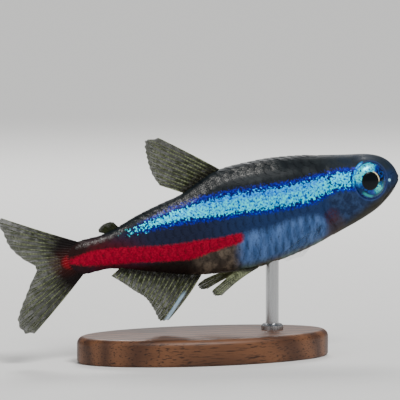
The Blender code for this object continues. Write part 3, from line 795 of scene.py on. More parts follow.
    layers = (
        (over, back_tone), (paler, "#2A3032"), (belly, belly_tone), (low_edge, under_tone),
        (rear_low, rear_tone), (cheek, cheek_tone), (chin, settings.chin), (warm_throat, "#42301F"),
        (throat_stain, "#40202C"), (snout, "#1A2638"), (painted_nostril_glint, "#9CD8F4"),
        (put("multiply", stem_end, 0.85), "#20120F"), (plum, "#4A0C14"), (red, red_tone),
        (pigment, "#06080C"), (fringe, fringe_tone), (stripe, cyan), (ring, "#3A4E86"), (halo, cyan),
    )
    colour = overlay(put, graded(put, s, 13.0, 20.0, settings.flank, "#1C2238"), layers)

    # The band under the back line where the scales get painted glints: pale flecks that stand in for
    # highlights
    under_back = put("subtract", edge_height(put, s, BACK_LINE), v)
    narrowed = put("multiply_add", put("step", s, 21.5, 25.0), 0.5, under_back)
    band = mask(put, (under_back, 0.1, 0.3), (narrowed, 1.15, 0.8), (s, 10.4, 12.0))
    band = put("multiply", band, put("maximum", put("step", over_top, 0.0, 0.25), put("step", s, 24.8, 25.6)))
    return colour, put("maximum", stripe, halo), place, band


def skin_material(settings):
    """Wet fish skin: soft pigment under a thin clear slime layer that gives small sharp lights."""
    material, put, shader = new_material("wet_pigmented_skin")
    colour, stripe, place = markings(put, settings)[:3]
    fill(shader, {
        "Base Color": colour,
        "Metallic": put("range", stripe, 0.05, 0.45),
        "Roughness": put("range", put("noise", place, 1 / 0.5, 2.0), 0.48, 0.68),
        "Normal": put("bump", put("noise", place, 1 / 0.14, 3.0), 0.5, 0.02 * MM),
        **SLIME_COAT,
    })
    return material


def scale_material(settings):
    """Thin horny scales over guanine crystals: the skin's colours, with painted glints, pale flecks of
    highlight that differ by scale.
    """
    material, put, shader = new_material("guanine_backed_scale")
    colour, stripe, place, band = markings(put, settings)
    tone = put("attribute", attribute_name="scale_tone")
    rim = put("attribute", attribute_name="scale_rim")
    # Painted glints: pale grey flecks of highlight laid into the colour on some scales, in the band under the
    # back
    flecks = put("step", put("noise", place, 1 / 0.085, 2.0), 0.46, 0.62)
    lit = mask(put, (tone, -0.3, 0.7), (rim, 0.2, 0.85))
    painted_glint = put("multiply", lit, band, put("multiply_add", flecks, 0.92, 0.08))
    colour = put("blend", put("multiply", painted_glint, 0.75), colour, "#A09E9A")
    edge = put("multiply", put("step", rim, 0.74, 0.97), put("multiply_add", stripe, -0.2, 0.3))
    fill(shader, {
        "Base Color": put("blend", edge, colour, "#07090E"),
        "Metallic": put("add", put("multiply", stripe, 0.4), put("multiply", painted_glint, 0.3), 0.04),
        "Roughness": put("range", tone, 0.46, 0.64),
        "Normal": put("bump", put("noise", place, 1 / 0.12, 3.0), 0.4, 0.015 * MM),
        **SLIME_COAT,
    })
    return material


def build_skin(settings):
    """One skin for the head, jaw, gill covers, torso and tail stem; its rows lie closest at the snout."""
    snout_rows = np.arange(0, 18) * 0.044
    first = snout_rows[-1] ** 2
    fine_rows = np.arange(first + 0.045, 2.3, 0.045)
    head_rows = np.arange(2.37, 8.6, 0.07)
    body_rows = np.linspace(8.7, BODY_LENGTH, 176)
    distances = np.concatenate([snout_rows**2, fine_rows, head_rows, body_rows])
    columns = 224
    turns = 2 * math.pi * np.arange(columns) / columns
    s, turn = np.meshgrid(distances, turns, indexing="ij")
    places = skin_places(s, turn, settings.coat_depth / MM)
    skin = new_piece("fish_skin", on_fish(places), grid_faces(len(distances), columns, True))
    mend(skin, 2e-7)
    check_against_solids(skin)
    flesh = ("head", "lower_jaw", "torso", "tail_stem", "gill_cover_right", "gill_cover_left")
    finish_piece(skin, skin_material(settings), flesh)


def check_against_solids(skin):
    """Stop if the skin isn't where the frame's body is."""
    points = np.empty(len(skin.data.vertices) * 3)
    skin.data.vertices.foreach_get("co", points)
    points = points.reshape(-1, 3)
    boxes = [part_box(name) for name in ("head", "torso", "tail_stem", "lower_jaw")]
    low = np.min([box[0] for box in boxes], axis=0)
    high = np.max([box[1] for box in boxes], axis=0)
    apart = max(np.abs(points.min(0) - low).max(), np.abs(points.max(0) - high).max())
    if apart > 0.35 * MM:
        raise RuntimeError(f"the skin is {apart / MM:.2f} mm off the frame's body")


def scale_pattern(settings):
    """One cycloid scale, lying flat: x back from its root and y across, both for a spacing of 1."""
    sectors, rings = 20, 3
    thickness = settings.thickness / MM
    half = SCALE_LENGTH / 2
    points = [(half, 0.0, SCALE_SLOPE * half)]
    for ring in range(1, rings + 1):
        share = ring / rings
        for k in range(sectors):
            a = 2 * math.pi * k / sectors
            x = half * (1 + share * math.cos(a))
            arch = SCALE_ARCH * (1 - share * share)
            points.append((x, SCALE_HALF_WIDTH * share * math.sin(a), SCALE_SLOPE * x + arch))
    rim = len(points) - sectors
    points += [(x, y, z - thickness) for x, y, z in points[rim:]]
    faces = [(0, 1 + k, 1 + (k + 1) % sectors) for k in range(sectors)]
    for ring in range(rings):
        for k in range(sectors):
            a = 1 + ring * sectors + k
            b = 1 + ring * sectors + (k + 1) % sectors
            faces.append((a, a + sectors, b + sectors, b))
    faces.append(tuple(range(len(points) - 1, len(points) - sectors - 1, -1)))
    pattern = new_piece("scale_pattern", points, faces)
    mend(pattern, 1e-6)
    pattern.data.shade_smooth()
    pattern.data.set_sharp_from_angle(angle=math.radians(40))
    return pattern


def coat_tree():
    """Nodes that lay rows of scales on the skin's flat pattern and wrap them round the body."""
    sockets = (
        ("Pattern", "Object"), ("Spacing", "Float"), ("Row height", "Float"), ("Tail row height", "Float"),
        ("First place", "Float"), ("Columns", "Int"), ("Rows", "Int"), ("Lift", "Float"),
        ("Sheet length", "Float"), ("Sheet height", "Float"), ("Seed", "Int"), ("Finish", "Material"),
    )
    tree, put, sizes, end = new_tree("scale_coat", sockets)

    counts = {"Vertices X": sizes["Columns"], "Vertices Y": sizes["Rows"]}
    lattice = put("GeometryNodeMeshGrid", counts).outputs["Mesh"]
    index = put("GeometryNodeInputIndex").outputs[0]
    column = put("floor", put("divide", index, sizes["Rows"]))
    row = put("modulo", index, sizes["Rows"])
    shifted = put("multiply_add", put("modulo", row, 2.0), 0.5, column)
    s = put("multiply_add", shifted, sizes["Spacing"], sizes["First place"])
    heights = {
        "Value": s, "From Min": NARROWING[0], "From Max": NARROWING[1],
        "To Min": sizes["Row height"], "To Max": sizes["Tail row height"],
    }
    row_height = put("ShaderNodeMapRange", heights, interpolation_type="SMOOTHSTEP").outputs["Result"]
    half_rows = put("multiply", put("subtract", sizes["Rows"], 1.0), 0.5)
    a = put("multiply", put("subtract", row, half_rows), row_height)
    lattice = put("GeometryNodeSetPosition", {"Geometry": lattice, "Position": put("join", s, a)}).outputs[0]

    def on_sheet(x, y):
        """Unwrapped place to the skin's UV map."""
        up = put("add", put("divide", y, sizes["Sheet height"]), 0.5)
        return put("join", put("divide", x, sizes["Sheet length"]), up)

    def read_skin(what, kind, sample):
        """A field of the skin, read at a place of its UV map."""
        unwrap = put("named", "unwrap")
        inputs = {"Mesh": sizes["Geometry"], "UV Map": unwrap, "Sample UV": sample, "Value": what}
        return put("GeometryNodeSampleUVSurface", inputs, data_type=kind)

    root_uv = on_sheet(s, a)
    allowed = read_skin(put("named", "scaled", data_type="FLOAT"), "FLOAT", root_uv)
    limits = {0: allowed.outputs[0], 1: 0.5}
    bare = put("FunctionNodeCompare", limits, data_type="FLOAT", operation="LESS_THAN").outputs[0]
    missing = put("FunctionNodeBooleanMath", {0: allowed.outputs["Is Valid"]}, operation="NOT").outputs[0]
    drop = put("FunctionNodeBooleanMath", {0: bare, 1: missing}, operation="OR").outputs[0]
    # The row height and the root's place are stored before any point is dropped, as the index changes then
    kept = (
        ("root_uv", root_uv, "FLOAT_VECTOR"), ("row_height", row_height, "FLOAT"), ("drop", drop, "BOOLEAN"),
    )
    for name, value, kind in kept:
        lattice = put("store", lattice, name, value, data_type=kind)
    dropped = {"Geometry": lattice, "Selection": put("named", "drop", data_type="BOOLEAN")}
    roots = put("GeometryNodeDeleteGeometry", dropped, domain="POINT").outputs[0]
    roots = put("store", roots, "scale_tone", put("random", sizes["Seed"]), data_type="FLOAT")

    shape = put("GeometryNodeObjectInfo", {"Object": sizes["Pattern"]}).outputs["Geometry"]
    vary = put("random", sizes["Seed"], *SIZE_SPREAD)
    kept_height = put("named", "row_height", data_type="FLOAT")
    size = put("join", put("multiply", sizes["Spacing"], vary), put("multiply", kept_height, vary), 1.0)
    turn = put("join", 0.0, 0.0, put("random", sizes["Seed"], -SCALE_SWING, SCALE_SWING))
    position = put("GeometryNodeInputPosition").outputs[0]
    reach = put("ShaderNodeSeparateXYZ", {0: position}).outputs[0]
    shape = put("store", shape, "scale_rim", put("divide", reach, SCALE_LENGTH), data_type="FLOAT")
    shape = put("store", shape, "local_place", position, data_type="FLOAT_VECTOR")
    instances = {"Points": roots, "Instance": shape, "Rotation": turn, "Scale": size}
    placed = put("GeometryNodeInstanceOnPoints", instances).outputs[0]
    solid = put("GeometryNodeRealizeInstances", {"Geometry": placed}).outputs[0]

    flat = put("ShaderNodeSeparateXYZ", {0: position}).outputs
    sample = on_sheet(flat[0], flat[1])
    ground = read_skin(position, "FLOAT_VECTOR", sample)
    facing = read_skin(put("GeometryNodeInputNormal").outputs[0], "FLOAT_VECTOR", sample)
    height = put("multiply", put("add", flat[2], sizes["Lift"]), MM)
    off = put("ShaderNodeVectorMath", {0: facing.outputs[0], 3: height}, operation="SCALE").outputs[0]
    wrapped = put("ShaderNodeVectorMath", {0: ground.outputs[0], 1: off}, operation="ADD").outputs[0]
    solid = put("GeometryNodeSetPosition", {"Geometry": solid, "Position": wrapped}).outputs[0]

    # Each scale's patch is about 0.003 across, at its root's place on the unwrapped skin
    patch = {0: put("named", "local_place"), 1: BAKE_PATCH}
    patch = put("ShaderNodeVectorMath", patch, operation="MULTIPLY").outputs[0]
    bake = put("ShaderNodeVectorMath", {0: put("named", "root_uv"), 1: patch}, operation="ADD").outputs[0]
    solid = put("store", solid, "OFBake", bake, data_type="FLOAT2", domain="CORNER")
    for spare in ("root_uv", "local_place", "row_height", "drop"):
        solid = put("GeometryNodeRemoveAttribute", {"Geometry": solid, "Name": spare}).outputs[0]
    end_tree(put, solid, sizes["Finish"], end)
    return tree


def skin_sheet(name, middle, half_span, inset):
    """A strip of the skin with its unwrapped place as a UV map, for the scales to lie on.

    The unwrapped place is the distance from the snout and the distance round the body from the
    strip's middle line, so nothing is stretched.
    """
    distances = np.arange(5.6, BODY_LENGTH, 0.2)
    turns = np.radians(np.linspace(middle - half_span, middle + half_span, 161))
    s, turn = np.meshgrid(distances, turns, indexing="ij")
    places = skin_places(s, turn, inset)
    steps = np.linalg.norm(np.diff(places, axis=1), axis=-1)
    round_body = np.concatenate([np.zeros((len(distances), 1)), np.cumsum(steps, axis=1)], axis=1)
    round_body -= round_body[:, len(turns) // 2][:, None]
    up = -1.0 if math.sin(math.radians(middle)) >= 0 else 1.0
    sheet = new_piece(name, on_fish(places), grid_faces(len(distances), len(turns)))
    unwrap = np.stack([places[..., 0] / SHEET_LENGTH, up * round_body / SHEET_HEIGHT + 0.5], -1)
    corners = np.empty(len(sheet.data.loops), np.int32)
    sheet.data.loops.foreach_get("vertex_index", corners)
    unwrap = unwrap.reshape(-1, 2)[corners].astype(np.float32)
    sheet.data.uv_layers.new(name="unwrap").data.foreach_set("uv", unwrap.ravel())
    store_values(sheet, "scaled", scale_limits(places, turn, half_span))
    face_outwards(sheet, places)
    return sheet


def scale_limits(places, turn, half_span):
    """1 where a scale may root: behind the gill cover, and on this side of the back and belly."""
    s, v, _ = np.moveaxis(places, -1, 0)
    behind = s > np.where(v > GILL_TOP_V, 6.2, gill_edge(v) - 0.2)
    before_end = s < STEM_END_S + STEM_END_BULGE * np.abs(np.sin(turn)) - SCALE_REACH
    if half_span > FLANK_SPAN:
        own_side = (np.sin(turn) * np.sign(np.sin(turn[0, turn.shape[1] // 2]))) > 0.0
        return behind & own_side & before_end
    upper = np.cos(turn[0, turn.shape[1] // 2]) > 0
    fins = (DORSAL_BASE, ADIPOSE_BASE) if upper else (PELVIC_BASE, ANAL_BASE)
    clear = np.ones_like(s, bool)
    for first, last in fins:
        clear &= (s < first - 0.9) | (s > last)
    return (s > (6.4 if upper else 7.0)) & clear & before_end


def face_outwards(sheet, places):
    """Turn the strip's faces away from the middle of the body."""
    mesh = sheet.data
    middle_row = len(places) // 2
    middle = Vector(on_fish(places[middle_row].mean(axis=0) * [1, 1, 0]))
    polygon = mesh.polygons[middle_row * (places.shape[1] - 1) + places.shape[1] // 2]
    if polygon.normal.dot(Vector(polygon.center) - middle) < 0:
        mesh.flip_normals()


def build_scales(skin_settings, settings):
    """The scale coat: one piece for each flank, and a row along the back and belly lines."""
    tree = coat_tree()
    pattern = scale_pattern(settings)
    finish = scale_material(skin_settings)
    inset = skin_settings.coat_depth / MM
    spacing = settings.spacing / MM
    strips = (
        ("scales_right", -90.0, 165.0, 14, -0.02),
        ("scales_left", 90.0, 165.0, 14, -0.02),
        ("scales_back", 0.0, 130.0, 1, 0.0),
        ("scales_belly", 180.0, 130.0, 1, 0.0),
    )
    for name, middle, half_span, rows, lift in strips:
        sheet = skin_sheet(name, middle, half_span, inset)
        values = {
            "Pattern": pattern,
            "Spacing": spacing,
            "Row height": settings.row_height / MM,
            "Tail row height": settings.tail_row_height / MM,
            "First place": SCALES_START - spacing / 2,
            "Columns": math.ceil((BODY_LENGTH - SCALES_START) / spacing) + 1,
            "Rows": rows,
            "Lift": lift,
            "Sheet length": SHEET_LENGTH,
            "Sheet height": SHEET_HEIGHT,
            "Seed": settings.seed,
            "Finish": finish,
        }
        apply_tree(sheet, tree, values)
        finish_piece(sheet, None)
    bpy.data.objects.remove(pattern)


def eye_material(settings):
    """A living eye: a black pupil and a silvery iris with blue and cyan crystals under a wet cornea, and a
    painted rim light along the iris's lower rear edge.
    """
    material, put, shader = new_material("wet_crystalline_eye")
    place = put("ShaderNodeAttribute", attribute_name="eye_place").outputs["Vector"]
    ahead, up = put("ShaderNodeSeparateXYZ", {0: place}).outputs[:2]
    turn = put("arctan2", put("subtract", up, PUPIL_PLACE[1]), put("subtract", ahead, PUPIL_PLACE[0]))
    away = distance_from(put, ahead, up, PUPIL_PLACE)
    from_axis = distance_from(put, ahead, up, (0.0, 0.0))
    grains = put("noise", place, 1 / 0.16, 3.0)
    wobble = put("multiply", put("subtract", put("noise", place, 1 / 0.4, 2.0), 0.5), 0.09)
    share = put("add", put("divide", turn, 2 * math.pi), put("add", wobble, 0.5))
    ramp = put("ShaderNodeValToRGB", {0: share})
    # Round the iris, starting behind the pupil and going down, ahead, up and back again
    stops = (
        (0.0, "#1C8CCC"), (0.04, "#0A3070"), (0.12, "#040E24"), (0.2, "#0C2850"), (0.265, "#30489C"),
        (0.3, "#1C9C9C"), (0.38, "#60F4DC"), (0.43, "#0C5C5C"), (0.47, "#020406"), (0.56, settings.dark),
        (0.6, "#040C58"), (0.63, "#0A1CA0"), (0.66, "#2CE4FF"), (0.86, settings.bright), (0.96, "#48F8F4"),
        (1.0, "#1C8CCC"),
    )
    elements = ramp.color_ramp.elements
    for position, _ in stops[1:-1]:
        elements.new(position)
    for element, (_, tone) in zip(elements, stops):
        element.color = paint(tone) if isinstance(tone, str) else tone
    outer = settings.iris / MM
    pupil = settings.pupil / MM
    iris = graded(put, grains, 0.53, 0.38, ramp.outputs[0], "#0848A0")
    sclera = graded(put, grains, 0.35, 0.7, "#0A1A40", "#2C50A0")
    lower_front = put("multiply", mask(put, (up, -0.2, -0.6), (from_axis, 1.0, 1.25)), 0.85)
    # Painted rim light: a thin teal arc laid into the colour at the iris's lower rear edge, where a light
    # catches the eye's rim
    rear_low = spot(put, ahead, up, (-0.75, -1.25), 0.75)
    rim_light = put("multiply", rear_low, put("step", from_axis, outer - 0.24, outer - 0.12))
    upper_rear = put("subtract", put("multiply", up, 0.6), put("multiply", ahead, 0.8))
    below = mask(put, (from_axis, outer - 0.03, outer + 0.05), (upper_rear, 0.9, 0.4))
    off_ring = put("absolute", put("subtract", away, pupil + 0.05))
    above = put("absolute", put("subtract", share, 0.56))
    ring = mask(put, (off_ring, 0.06, 0.02), (above, 0.13, 0.08))
    layers = (
        (lower_front, "#082C50"), (rim_light, "#2C9898"), (below, sclera),
        (put("step", away, pupil + 0.05, pupil - 0.01), "#01060C"), (ring, "#FFF0B8"),
    )
    fill(shader, {
        "Base Color": overlay(put, iris, layers),
        "Metallic": put("multiply", put("step", away, pupil, pupil + 0.1), 0.35),
        "Roughness": 0.3,
        "Specular IOR Level": 0.1,
        "Coat Weight": 0.2,
        "Coat Roughness": 0.03,
    })
    return material


def build_eye(name, side, node, finish, settings):
    """One eyeball: a domed front with the pupil a little proud of the iris, and a bowl behind."""
    pupil, iris = settings.pupil / MM, settings.iris / MM
    columns = 120
    front = np.linspace(0.0, math.pi / 2, 44)
    rear = np.linspace(math.pi / 2, math.pi, 14)[1:]
    bend = np.concatenate([front, rear])
    turns = 2 * math.pi * np.arange(columns) / columns
    r, turn = np.meshgrid(EYE_RADIUS * np.sin(bend), turns, indexing="ij")
    height = np.where(bend <= math.pi / 2, EYE_DOME, EYE_DEPTH) * np.cos(bend)
    a, b = r * np.cos(turn), r * np.sin(turn)
    away = np.hypot(a - PUPIL_PLACE[0], b - PUPIL_PLACE[1])
    relief = 0.035 * smooth_step(pupil + 0.02, pupil - 0.06, away)
    relief -= 0.03 * bump(away - pupil - 0.03, 0.04)
    relief -= 0.02 * bump(r - iris - 0.06, 0.05)
    relief = np.where((bend <= math.pi / 2)[:, None], relief, 0.0) - 0.02
    h = height[:, None] + relief
    places = from_eye_axes(a, b, h, side)
    eye = new_piece(name, on_fish(places), grid_faces(len(bend), columns, True))
    store_values(eye, "eye_place", np.stack([a, b, h], -1), "FLOAT_VECTOR", "vector")
    mend(eye)
    finish_piece(eye, finish, (node,))


def fin_pigment(put, colour, along):
    """A fin's colour with the tail fin's dark, red-hearted root, and how solid the fin is there."""
    place, s, _, v = fish_coordinates(put)
    root = put("step", along, 0.16, -0.02)
    tail = put("step", s, 28.2, 28.9)
    ragged = put("multiply_add", put("noise", place, 1 / 0.4, 2.0), 0.2, along)
    off_axis = put("absolute", put("add", v, 0.25))
    reach = put("range", put("step", off_axis, 0.3, 1.1), 0.2, 0.42)
    tail_root = put("multiply", tail, put("step", put("divide", ragged, reach), 1.25, 0.45))
    dark = put("maximum", put("multiply", root, 0.8), tail_root)
    narrowed = put("multiply", s, 0.75)
    glow = put("multiply", spot(put, narrowed, v, (30.3 * 0.75, -0.3), 1.5), tail, 0.75)
    heart = put("multiply", spot(put, narrowed, v, (29.9 * 0.75, -0.3), 0.75), tail)
    margin = put("multiply", put("step", off_axis, 2.4, 4.2), tail, put("step", along, 0.95, 0.5), 0.55)
    # The anal fin has a bluish white streak along the outer half of its front edge
    off_line = put("add", put("multiply", s, 0.669), put("multiply", v, 0.743), -10.05)
    off_line = put("absolute", off_line)
    streak = mask(put, (off_line, 0.2, 0.07), (v, -4.9, -5.6), (s, 20.4, 20.8), (s, 23.6, 23.0))
    layers = (
        (dark, "#0C0606"), (glow, "#2E0A06"), (heart, "#7C0414"), (margin, "#0A0C08"),
        (put("multiply", streak, 0.8), "#A8C8E0"),
    )
    return overlay(put, colour, layers), dark


def membrane_material(name, settings, opacity):
    """Fin membrane: two thin layers of clear wet skin, dusky with pigment between the rays."""
    material, put, shader = new_material(name)
    across = put("attribute", attribute_name="fin_across")
    along = put("attribute", attribute_name="fin_along")
    mottle = put("noise", fish_coordinates(put)[0], 1 / 0.35, 3.0)
    ribs = put("absolute", put("sine", put("multiply", across, 2 * math.pi)))
    colour = graded(put, mottle, 0.35, 0.7, settings.tint, "#2C3118")
    colour = put("blend", put("multiply", ribs, 0.6), colour, "#0E1108")
    colour, dark = fin_pigment(put, colour, along)
    patches = {"Value": mottle, "From Min": 0.3, "From Max": 0.7, "To Min": 0.85, "To Max": 1.15}
    patchy = put("ShaderNodeMapRange", patches).outputs[0]
    solid = put("multiply", put("range", along, opacity * 1.25, opacity * 0.85), patchy)
    if opacity > CLEAR_FIN:
        solid = put("maximum", solid, put("multiply", dark, 0.97))
    fill(shader, {"Base Color": colour, "Alpha": solid, "Roughness": 0.35, "Specular IOR Level": 0.12})
    return material


def ray_material(name, settings, opacity):
    """Fin rays: jointed, horny rods, pale along the crest and dark between the joints."""
    material, put, shader = new_material(name)
    along = put("attribute", attribute_name="ray_length")
    share = put("attribute", attribute_name="ray_share")
    patches = put("step", put("noise", fish_coordinates(put)[0], 1 / 0.6, 2.0), 0.42, 0.68)
    if opacity > CLEAR_FIN:
        joints = put("sine", put("multiply", along, 2 * math.pi / RAY_JOINT))
        colour = graded(put, joints, -0.9, -0.2, "#4C5040", settings.ray_colour)
        colour = fin_pigment(put, put("blend", patches, colour, "#3C4028"), share)[0]
        alpha = opacity
    else:
        colour = put("blend", patches, "#48607C", "#3A5070")
        alpha = put("multiply", put("step", share, 0.05, 0.5), opacity)
    fill(shader, {"Base Color": colour, "Alpha": alpha, "Roughness": 0.35, "Specular IOR Level": 0.15})
    return material


class Fin:
    """A fin's sheet: where each share u across it and t along it lies, as (s, v, y)."""

    def __init__(self, name, nodes, rays, base, tips, bow, bend, clear=False, stiff=2):
        self.name, self.nodes, self.rays = name, nodes, rays
        self.base, self.bow, self.bend = base, bow, bend
        self.tip_s = smooth_curve([row[0] for row in tips], [row[1] for row in tips])
        self.tip_v = smooth_curve([row[0] for row in tips], [row[2] for row in tips])
        self.clear, self.stiff = clear, stiff

    def root(self, u):
        """Share along the fin, below 0, of the sunk root under the skin."""
        start_s, start_v = self.base(u)
        return -ROOT_DEPTH / np.hypot(self.tip_s(u) - start_s, self.tip_v(u) - start_v)

    def places(self, u, t):
        """The middle of the sheet."""
        u, t = np.broadcast_arrays(np.asarray(u, float), np.asarray(t, float))
        start_s, start_v = self.base(u)
        end_s, end_v = self.tip_s(u), self.tip_v(u)
        arch = self.bow * 4 * t * (1 - t)
        s = start_s + (end_s - start_s) * t + (start_v - end_v) * arch
        v = start_v + (end_v - start_v) * t + (end_s - start_s) * arch
        return np.stack([s, v, np.broadcast_to(self.bend(u, t), s.shape)], -1)


def fin_membrane(fin, finish, settings):
    """The thin skin of a fin, a closed sheet that thins to its margin, notched between the rays."""
    gaps = max(fin.rays - 1, 6)
    across = gaps * 6 + 1
    shares = np.linspace(0.0, 1.0, across)
    steps = np.linspace(0.0, 1.0, 40)
    u, t = np.meshgrid(shares, steps, indexing="ij")
    notch = 1 - 0.022 * np.sin(math.pi * u * gaps) ** 2
    root = fin.root(u)
    t = root + (notch - root) * t
    middle = fin.places(u, t)
    down, over = np.gradient(middle, axis=1), np.gradient(middle, axis=0)
    normal = np.cross(over, down)
    normal /= np.maximum(np.linalg.norm(normal, axis=-1, keepdims=True), 1e-9)
    half = settings.membrane / MM / 2 * (1.5 - t)
    half = np.where((t > 0.985) | (u < 1e-6) | (u > 1 - 1e-6), half * 0.35, half)
    faces = grid_faces(across, len(steps))
    count = across * len(steps)
    faces += [tuple(count + k for k in reversed(face)) for face in faces]
    rim = list(range(len(steps)))
    rim += [i * len(steps) + len(steps) - 1 for i in range(1, across)]
    rim += [(across - 1) * len(steps) + k for k in range(len(steps) - 2, -1, -1)]
    rim += [i * len(steps) for i in range(across - 2, 0, -1)]
    faces += [(a, count + a, count + b, b) for a, b in zip(rim, rim[1:] + rim[:1])]
    points = np.concatenate([middle + normal * half[..., None], middle - normal * half[..., None]])
    piece = new_piece(fin.name + "_membrane", on_fish(points), faces)
    for key, values in (("fin_across", u * gaps / 2), ("fin_along", t)):
        store_values(piece, key, np.concatenate([values, values]))
    mend(piece, 1e-9)
    finish_piece(piece, finish, fin.nodes)


def ray_paths(fin):
    """Centre lines of a fin's rays as (u, t, thickness) rows; most fork twice on the way out."""
    spacing = 1 / (fin.rays - 1)
    for i in range(fin.rays):
        root = i * spacing
        sunk = float(fin.root(root))
        if i < fin.stiff:
            t = np.linspace(sunk, 0.99, 60)
            yield np.stack([np.full_like(t, root), t, 1.1 - 0.75 * t], -1)
            continue
        inward = 1 if i == fin.rays - 1 else 0
        trunk = np.linspace(sunk, FIRST_FORK, 30)
        yield np.stack([np.full_like(trunk, root), trunk, 1.0 - 0.5 * trunk], -1)
        for first in (-1, 1):
            limb = np.linspace(FIRST_FORK, SECOND_FORK, 20)
            spread = 0.22 * spacing * smooth_step(FIRST_FORK, 1.0, limb) * (first - inward)
            yield np.stack([root + spread, limb, 0.68 - 0.5 * (limb - FIRST_FORK)], -1)
            for second in (-1, 1):
                twig = np.linspace(SECOND_FORK, 0.985, 20)
                spread = 0.22 * spacing * smooth_step(FIRST_FORK, 1.0, twig) * (first - inward)
                spread += 0.11 * spacing * smooth_step(SECOND_FORK, 1.0, twig) * (second - inward)
                yield np.stack([root + spread, twig, 0.46 - 0.9 * (twig - SECOND_FORK)], -1)


def ray_tree():
    """Nodes that turn a fin's ray lines into tapered, jointed rods."""
    sockets = (("Radius", "Float"), ("Sides", "Int"), ("Finish", "Material"))
    tree, put, sizes, end = new_tree("fin_rays", sockets)
    lines = put("GeometryNodeMeshToCurve", {0: sizes["Geometry"]}).outputs[0]
    radius = put("multiply", put("named", "thickness", data_type="FLOAT"), sizes["Radius"])
    circle = {"Resolution": sizes["Sides"], "Radius": 1.0}
    profile = put("GeometryNodeCurvePrimitiveCircle", circle).outputs[0]
    sweep = {"Curve": lines, "Profile Curve": profile, "Scale": radius, "Fill Caps": True}
    rods = put("GeometryNodeCurveToMesh", sweep).outputs[0]
    solid = put("GeometryNodeRealizeInstances", {"Geometry": rods}).outputs[0]
    end_tree(put, solid, sizes["Finish"], end)
    return tree


def fin_rays(fin, tree, finish, settings):
    """The rays of a fin, proud of the membrane on both faces."""
    points, edges, thickness, length, share = [], [], [], [], []
    for path in ray_paths(fin):
        places = fin.places(path[:, 0], path[:, 1])
        first = len(points)
        points += list(places)
        edges += [(first + k, first + k + 1) for k in range(len(path) - 1)]
        reach = np.concatenate([[0.0], np.cumsum(np.linalg.norm(np.diff(places, axis=0), axis=1))])
        along = reach + path[0, 1] * 10
        length += list(along)
        share += list(path[:, 1])
        thickness += list(path[:, 2] * (1 + 0.1 * np.sin(2 * math.pi * along / RAY_JOINT)))
    piece = new_piece(fin.name + "_rays", on_fish(np.array(points)), [], edges)
    for key, values in (("thickness", thickness), ("ray_length", length), ("ray_share", share)):
        store_values(piece, key, values)
    radius = settings.ray * (CLEAR_RAY if fin.clear else 1.0)
    apply_tree(piece, tree, {"Radius": radius, "Sides": 6, "Finish": finish})
    finish_piece(piece, None)


def median_base(span, upper, gap=ROOT_GAP):
    """Roots of the rays of a fin on the back or belly line."""
    gap = gap if upper else -gap

    def base(u):
        s = span[0] + (span[1] - span[0]) * u
        return s, skin_height(s, 0.0, upper) + gap

    return base


def caudal_base(u):
    """Roots of the tail fin's rays, round the stem's end."""
    back, belly, _, widest = section(STEM_END_S)
    turn = np.radians(CAUDAL_TURNS[0] + (CAUDAL_TURNS[1] - CAUDAL_TURNS[0]) * u)
    reach = np.abs(np.where(np.cos(turn) > 0, back, belly) - widest)
    s = STEM_END_S + (STEM_END_BULGE + ROOT_GAP) * np.sin(turn)
    return s, widest + (reach + ROOT_GAP) * np.cos(turn)


def pelvic_fin(name, node, side):
    """A pelvic fin, rooted on the belly and splayed outwards; the left one is held higher."""
    lift = PELVIC_LEFT_LIFT if side > 0 else 0.0
    tips = [(u, s, v + lift) for u, s, v in PELVIC_TIPS]

    def base(u):
        s = PELVIC_BASE[0] + (PELVIC_BASE[1] - PELVIC_BASE[0]) * u
        return s, skin_height(s, PELVIC_ROOT_Y, False) - ROOT_GAP

    def bend(u, t):
        return side * (PELVIC_ROOT_Y + PELVIC_SPLAY * t)

    return Fin(name, (node,), 8, base, tips, 0.03, bend, stiff=1)


def pectoral_fin(name, node, side):
    """A pectoral fin, rooted low behind the gill cover and folded back along the flank."""
    front, rear = PECTORAL_BASE

    def base(u):
        return front[0] + (rear[0] - front[0]) * u, front[1] + (rear[1] - front[1]) * u

    def bend(u, t):
        out = skin_side(*base(u)) - 0.12 + (PECTORAL_STANDOFF + 0.12) * smooth_step(-0.1, 0.16, t)
        return side * (out + PECTORAL_SPLAY * np.maximum(t, 0.0))

    return Fin(name, (node,), 11, base, PECTORAL_TIPS, 0.04, bend, clear=True, stiff=1)


def curl(first, last):
    """How far a fin's tip stands off to one side, from its first ray to its last."""
    def bend(u, t):
        return (first + (last - first) * smooth_step(0.35, 0.65, u)) * t * t

    return bend


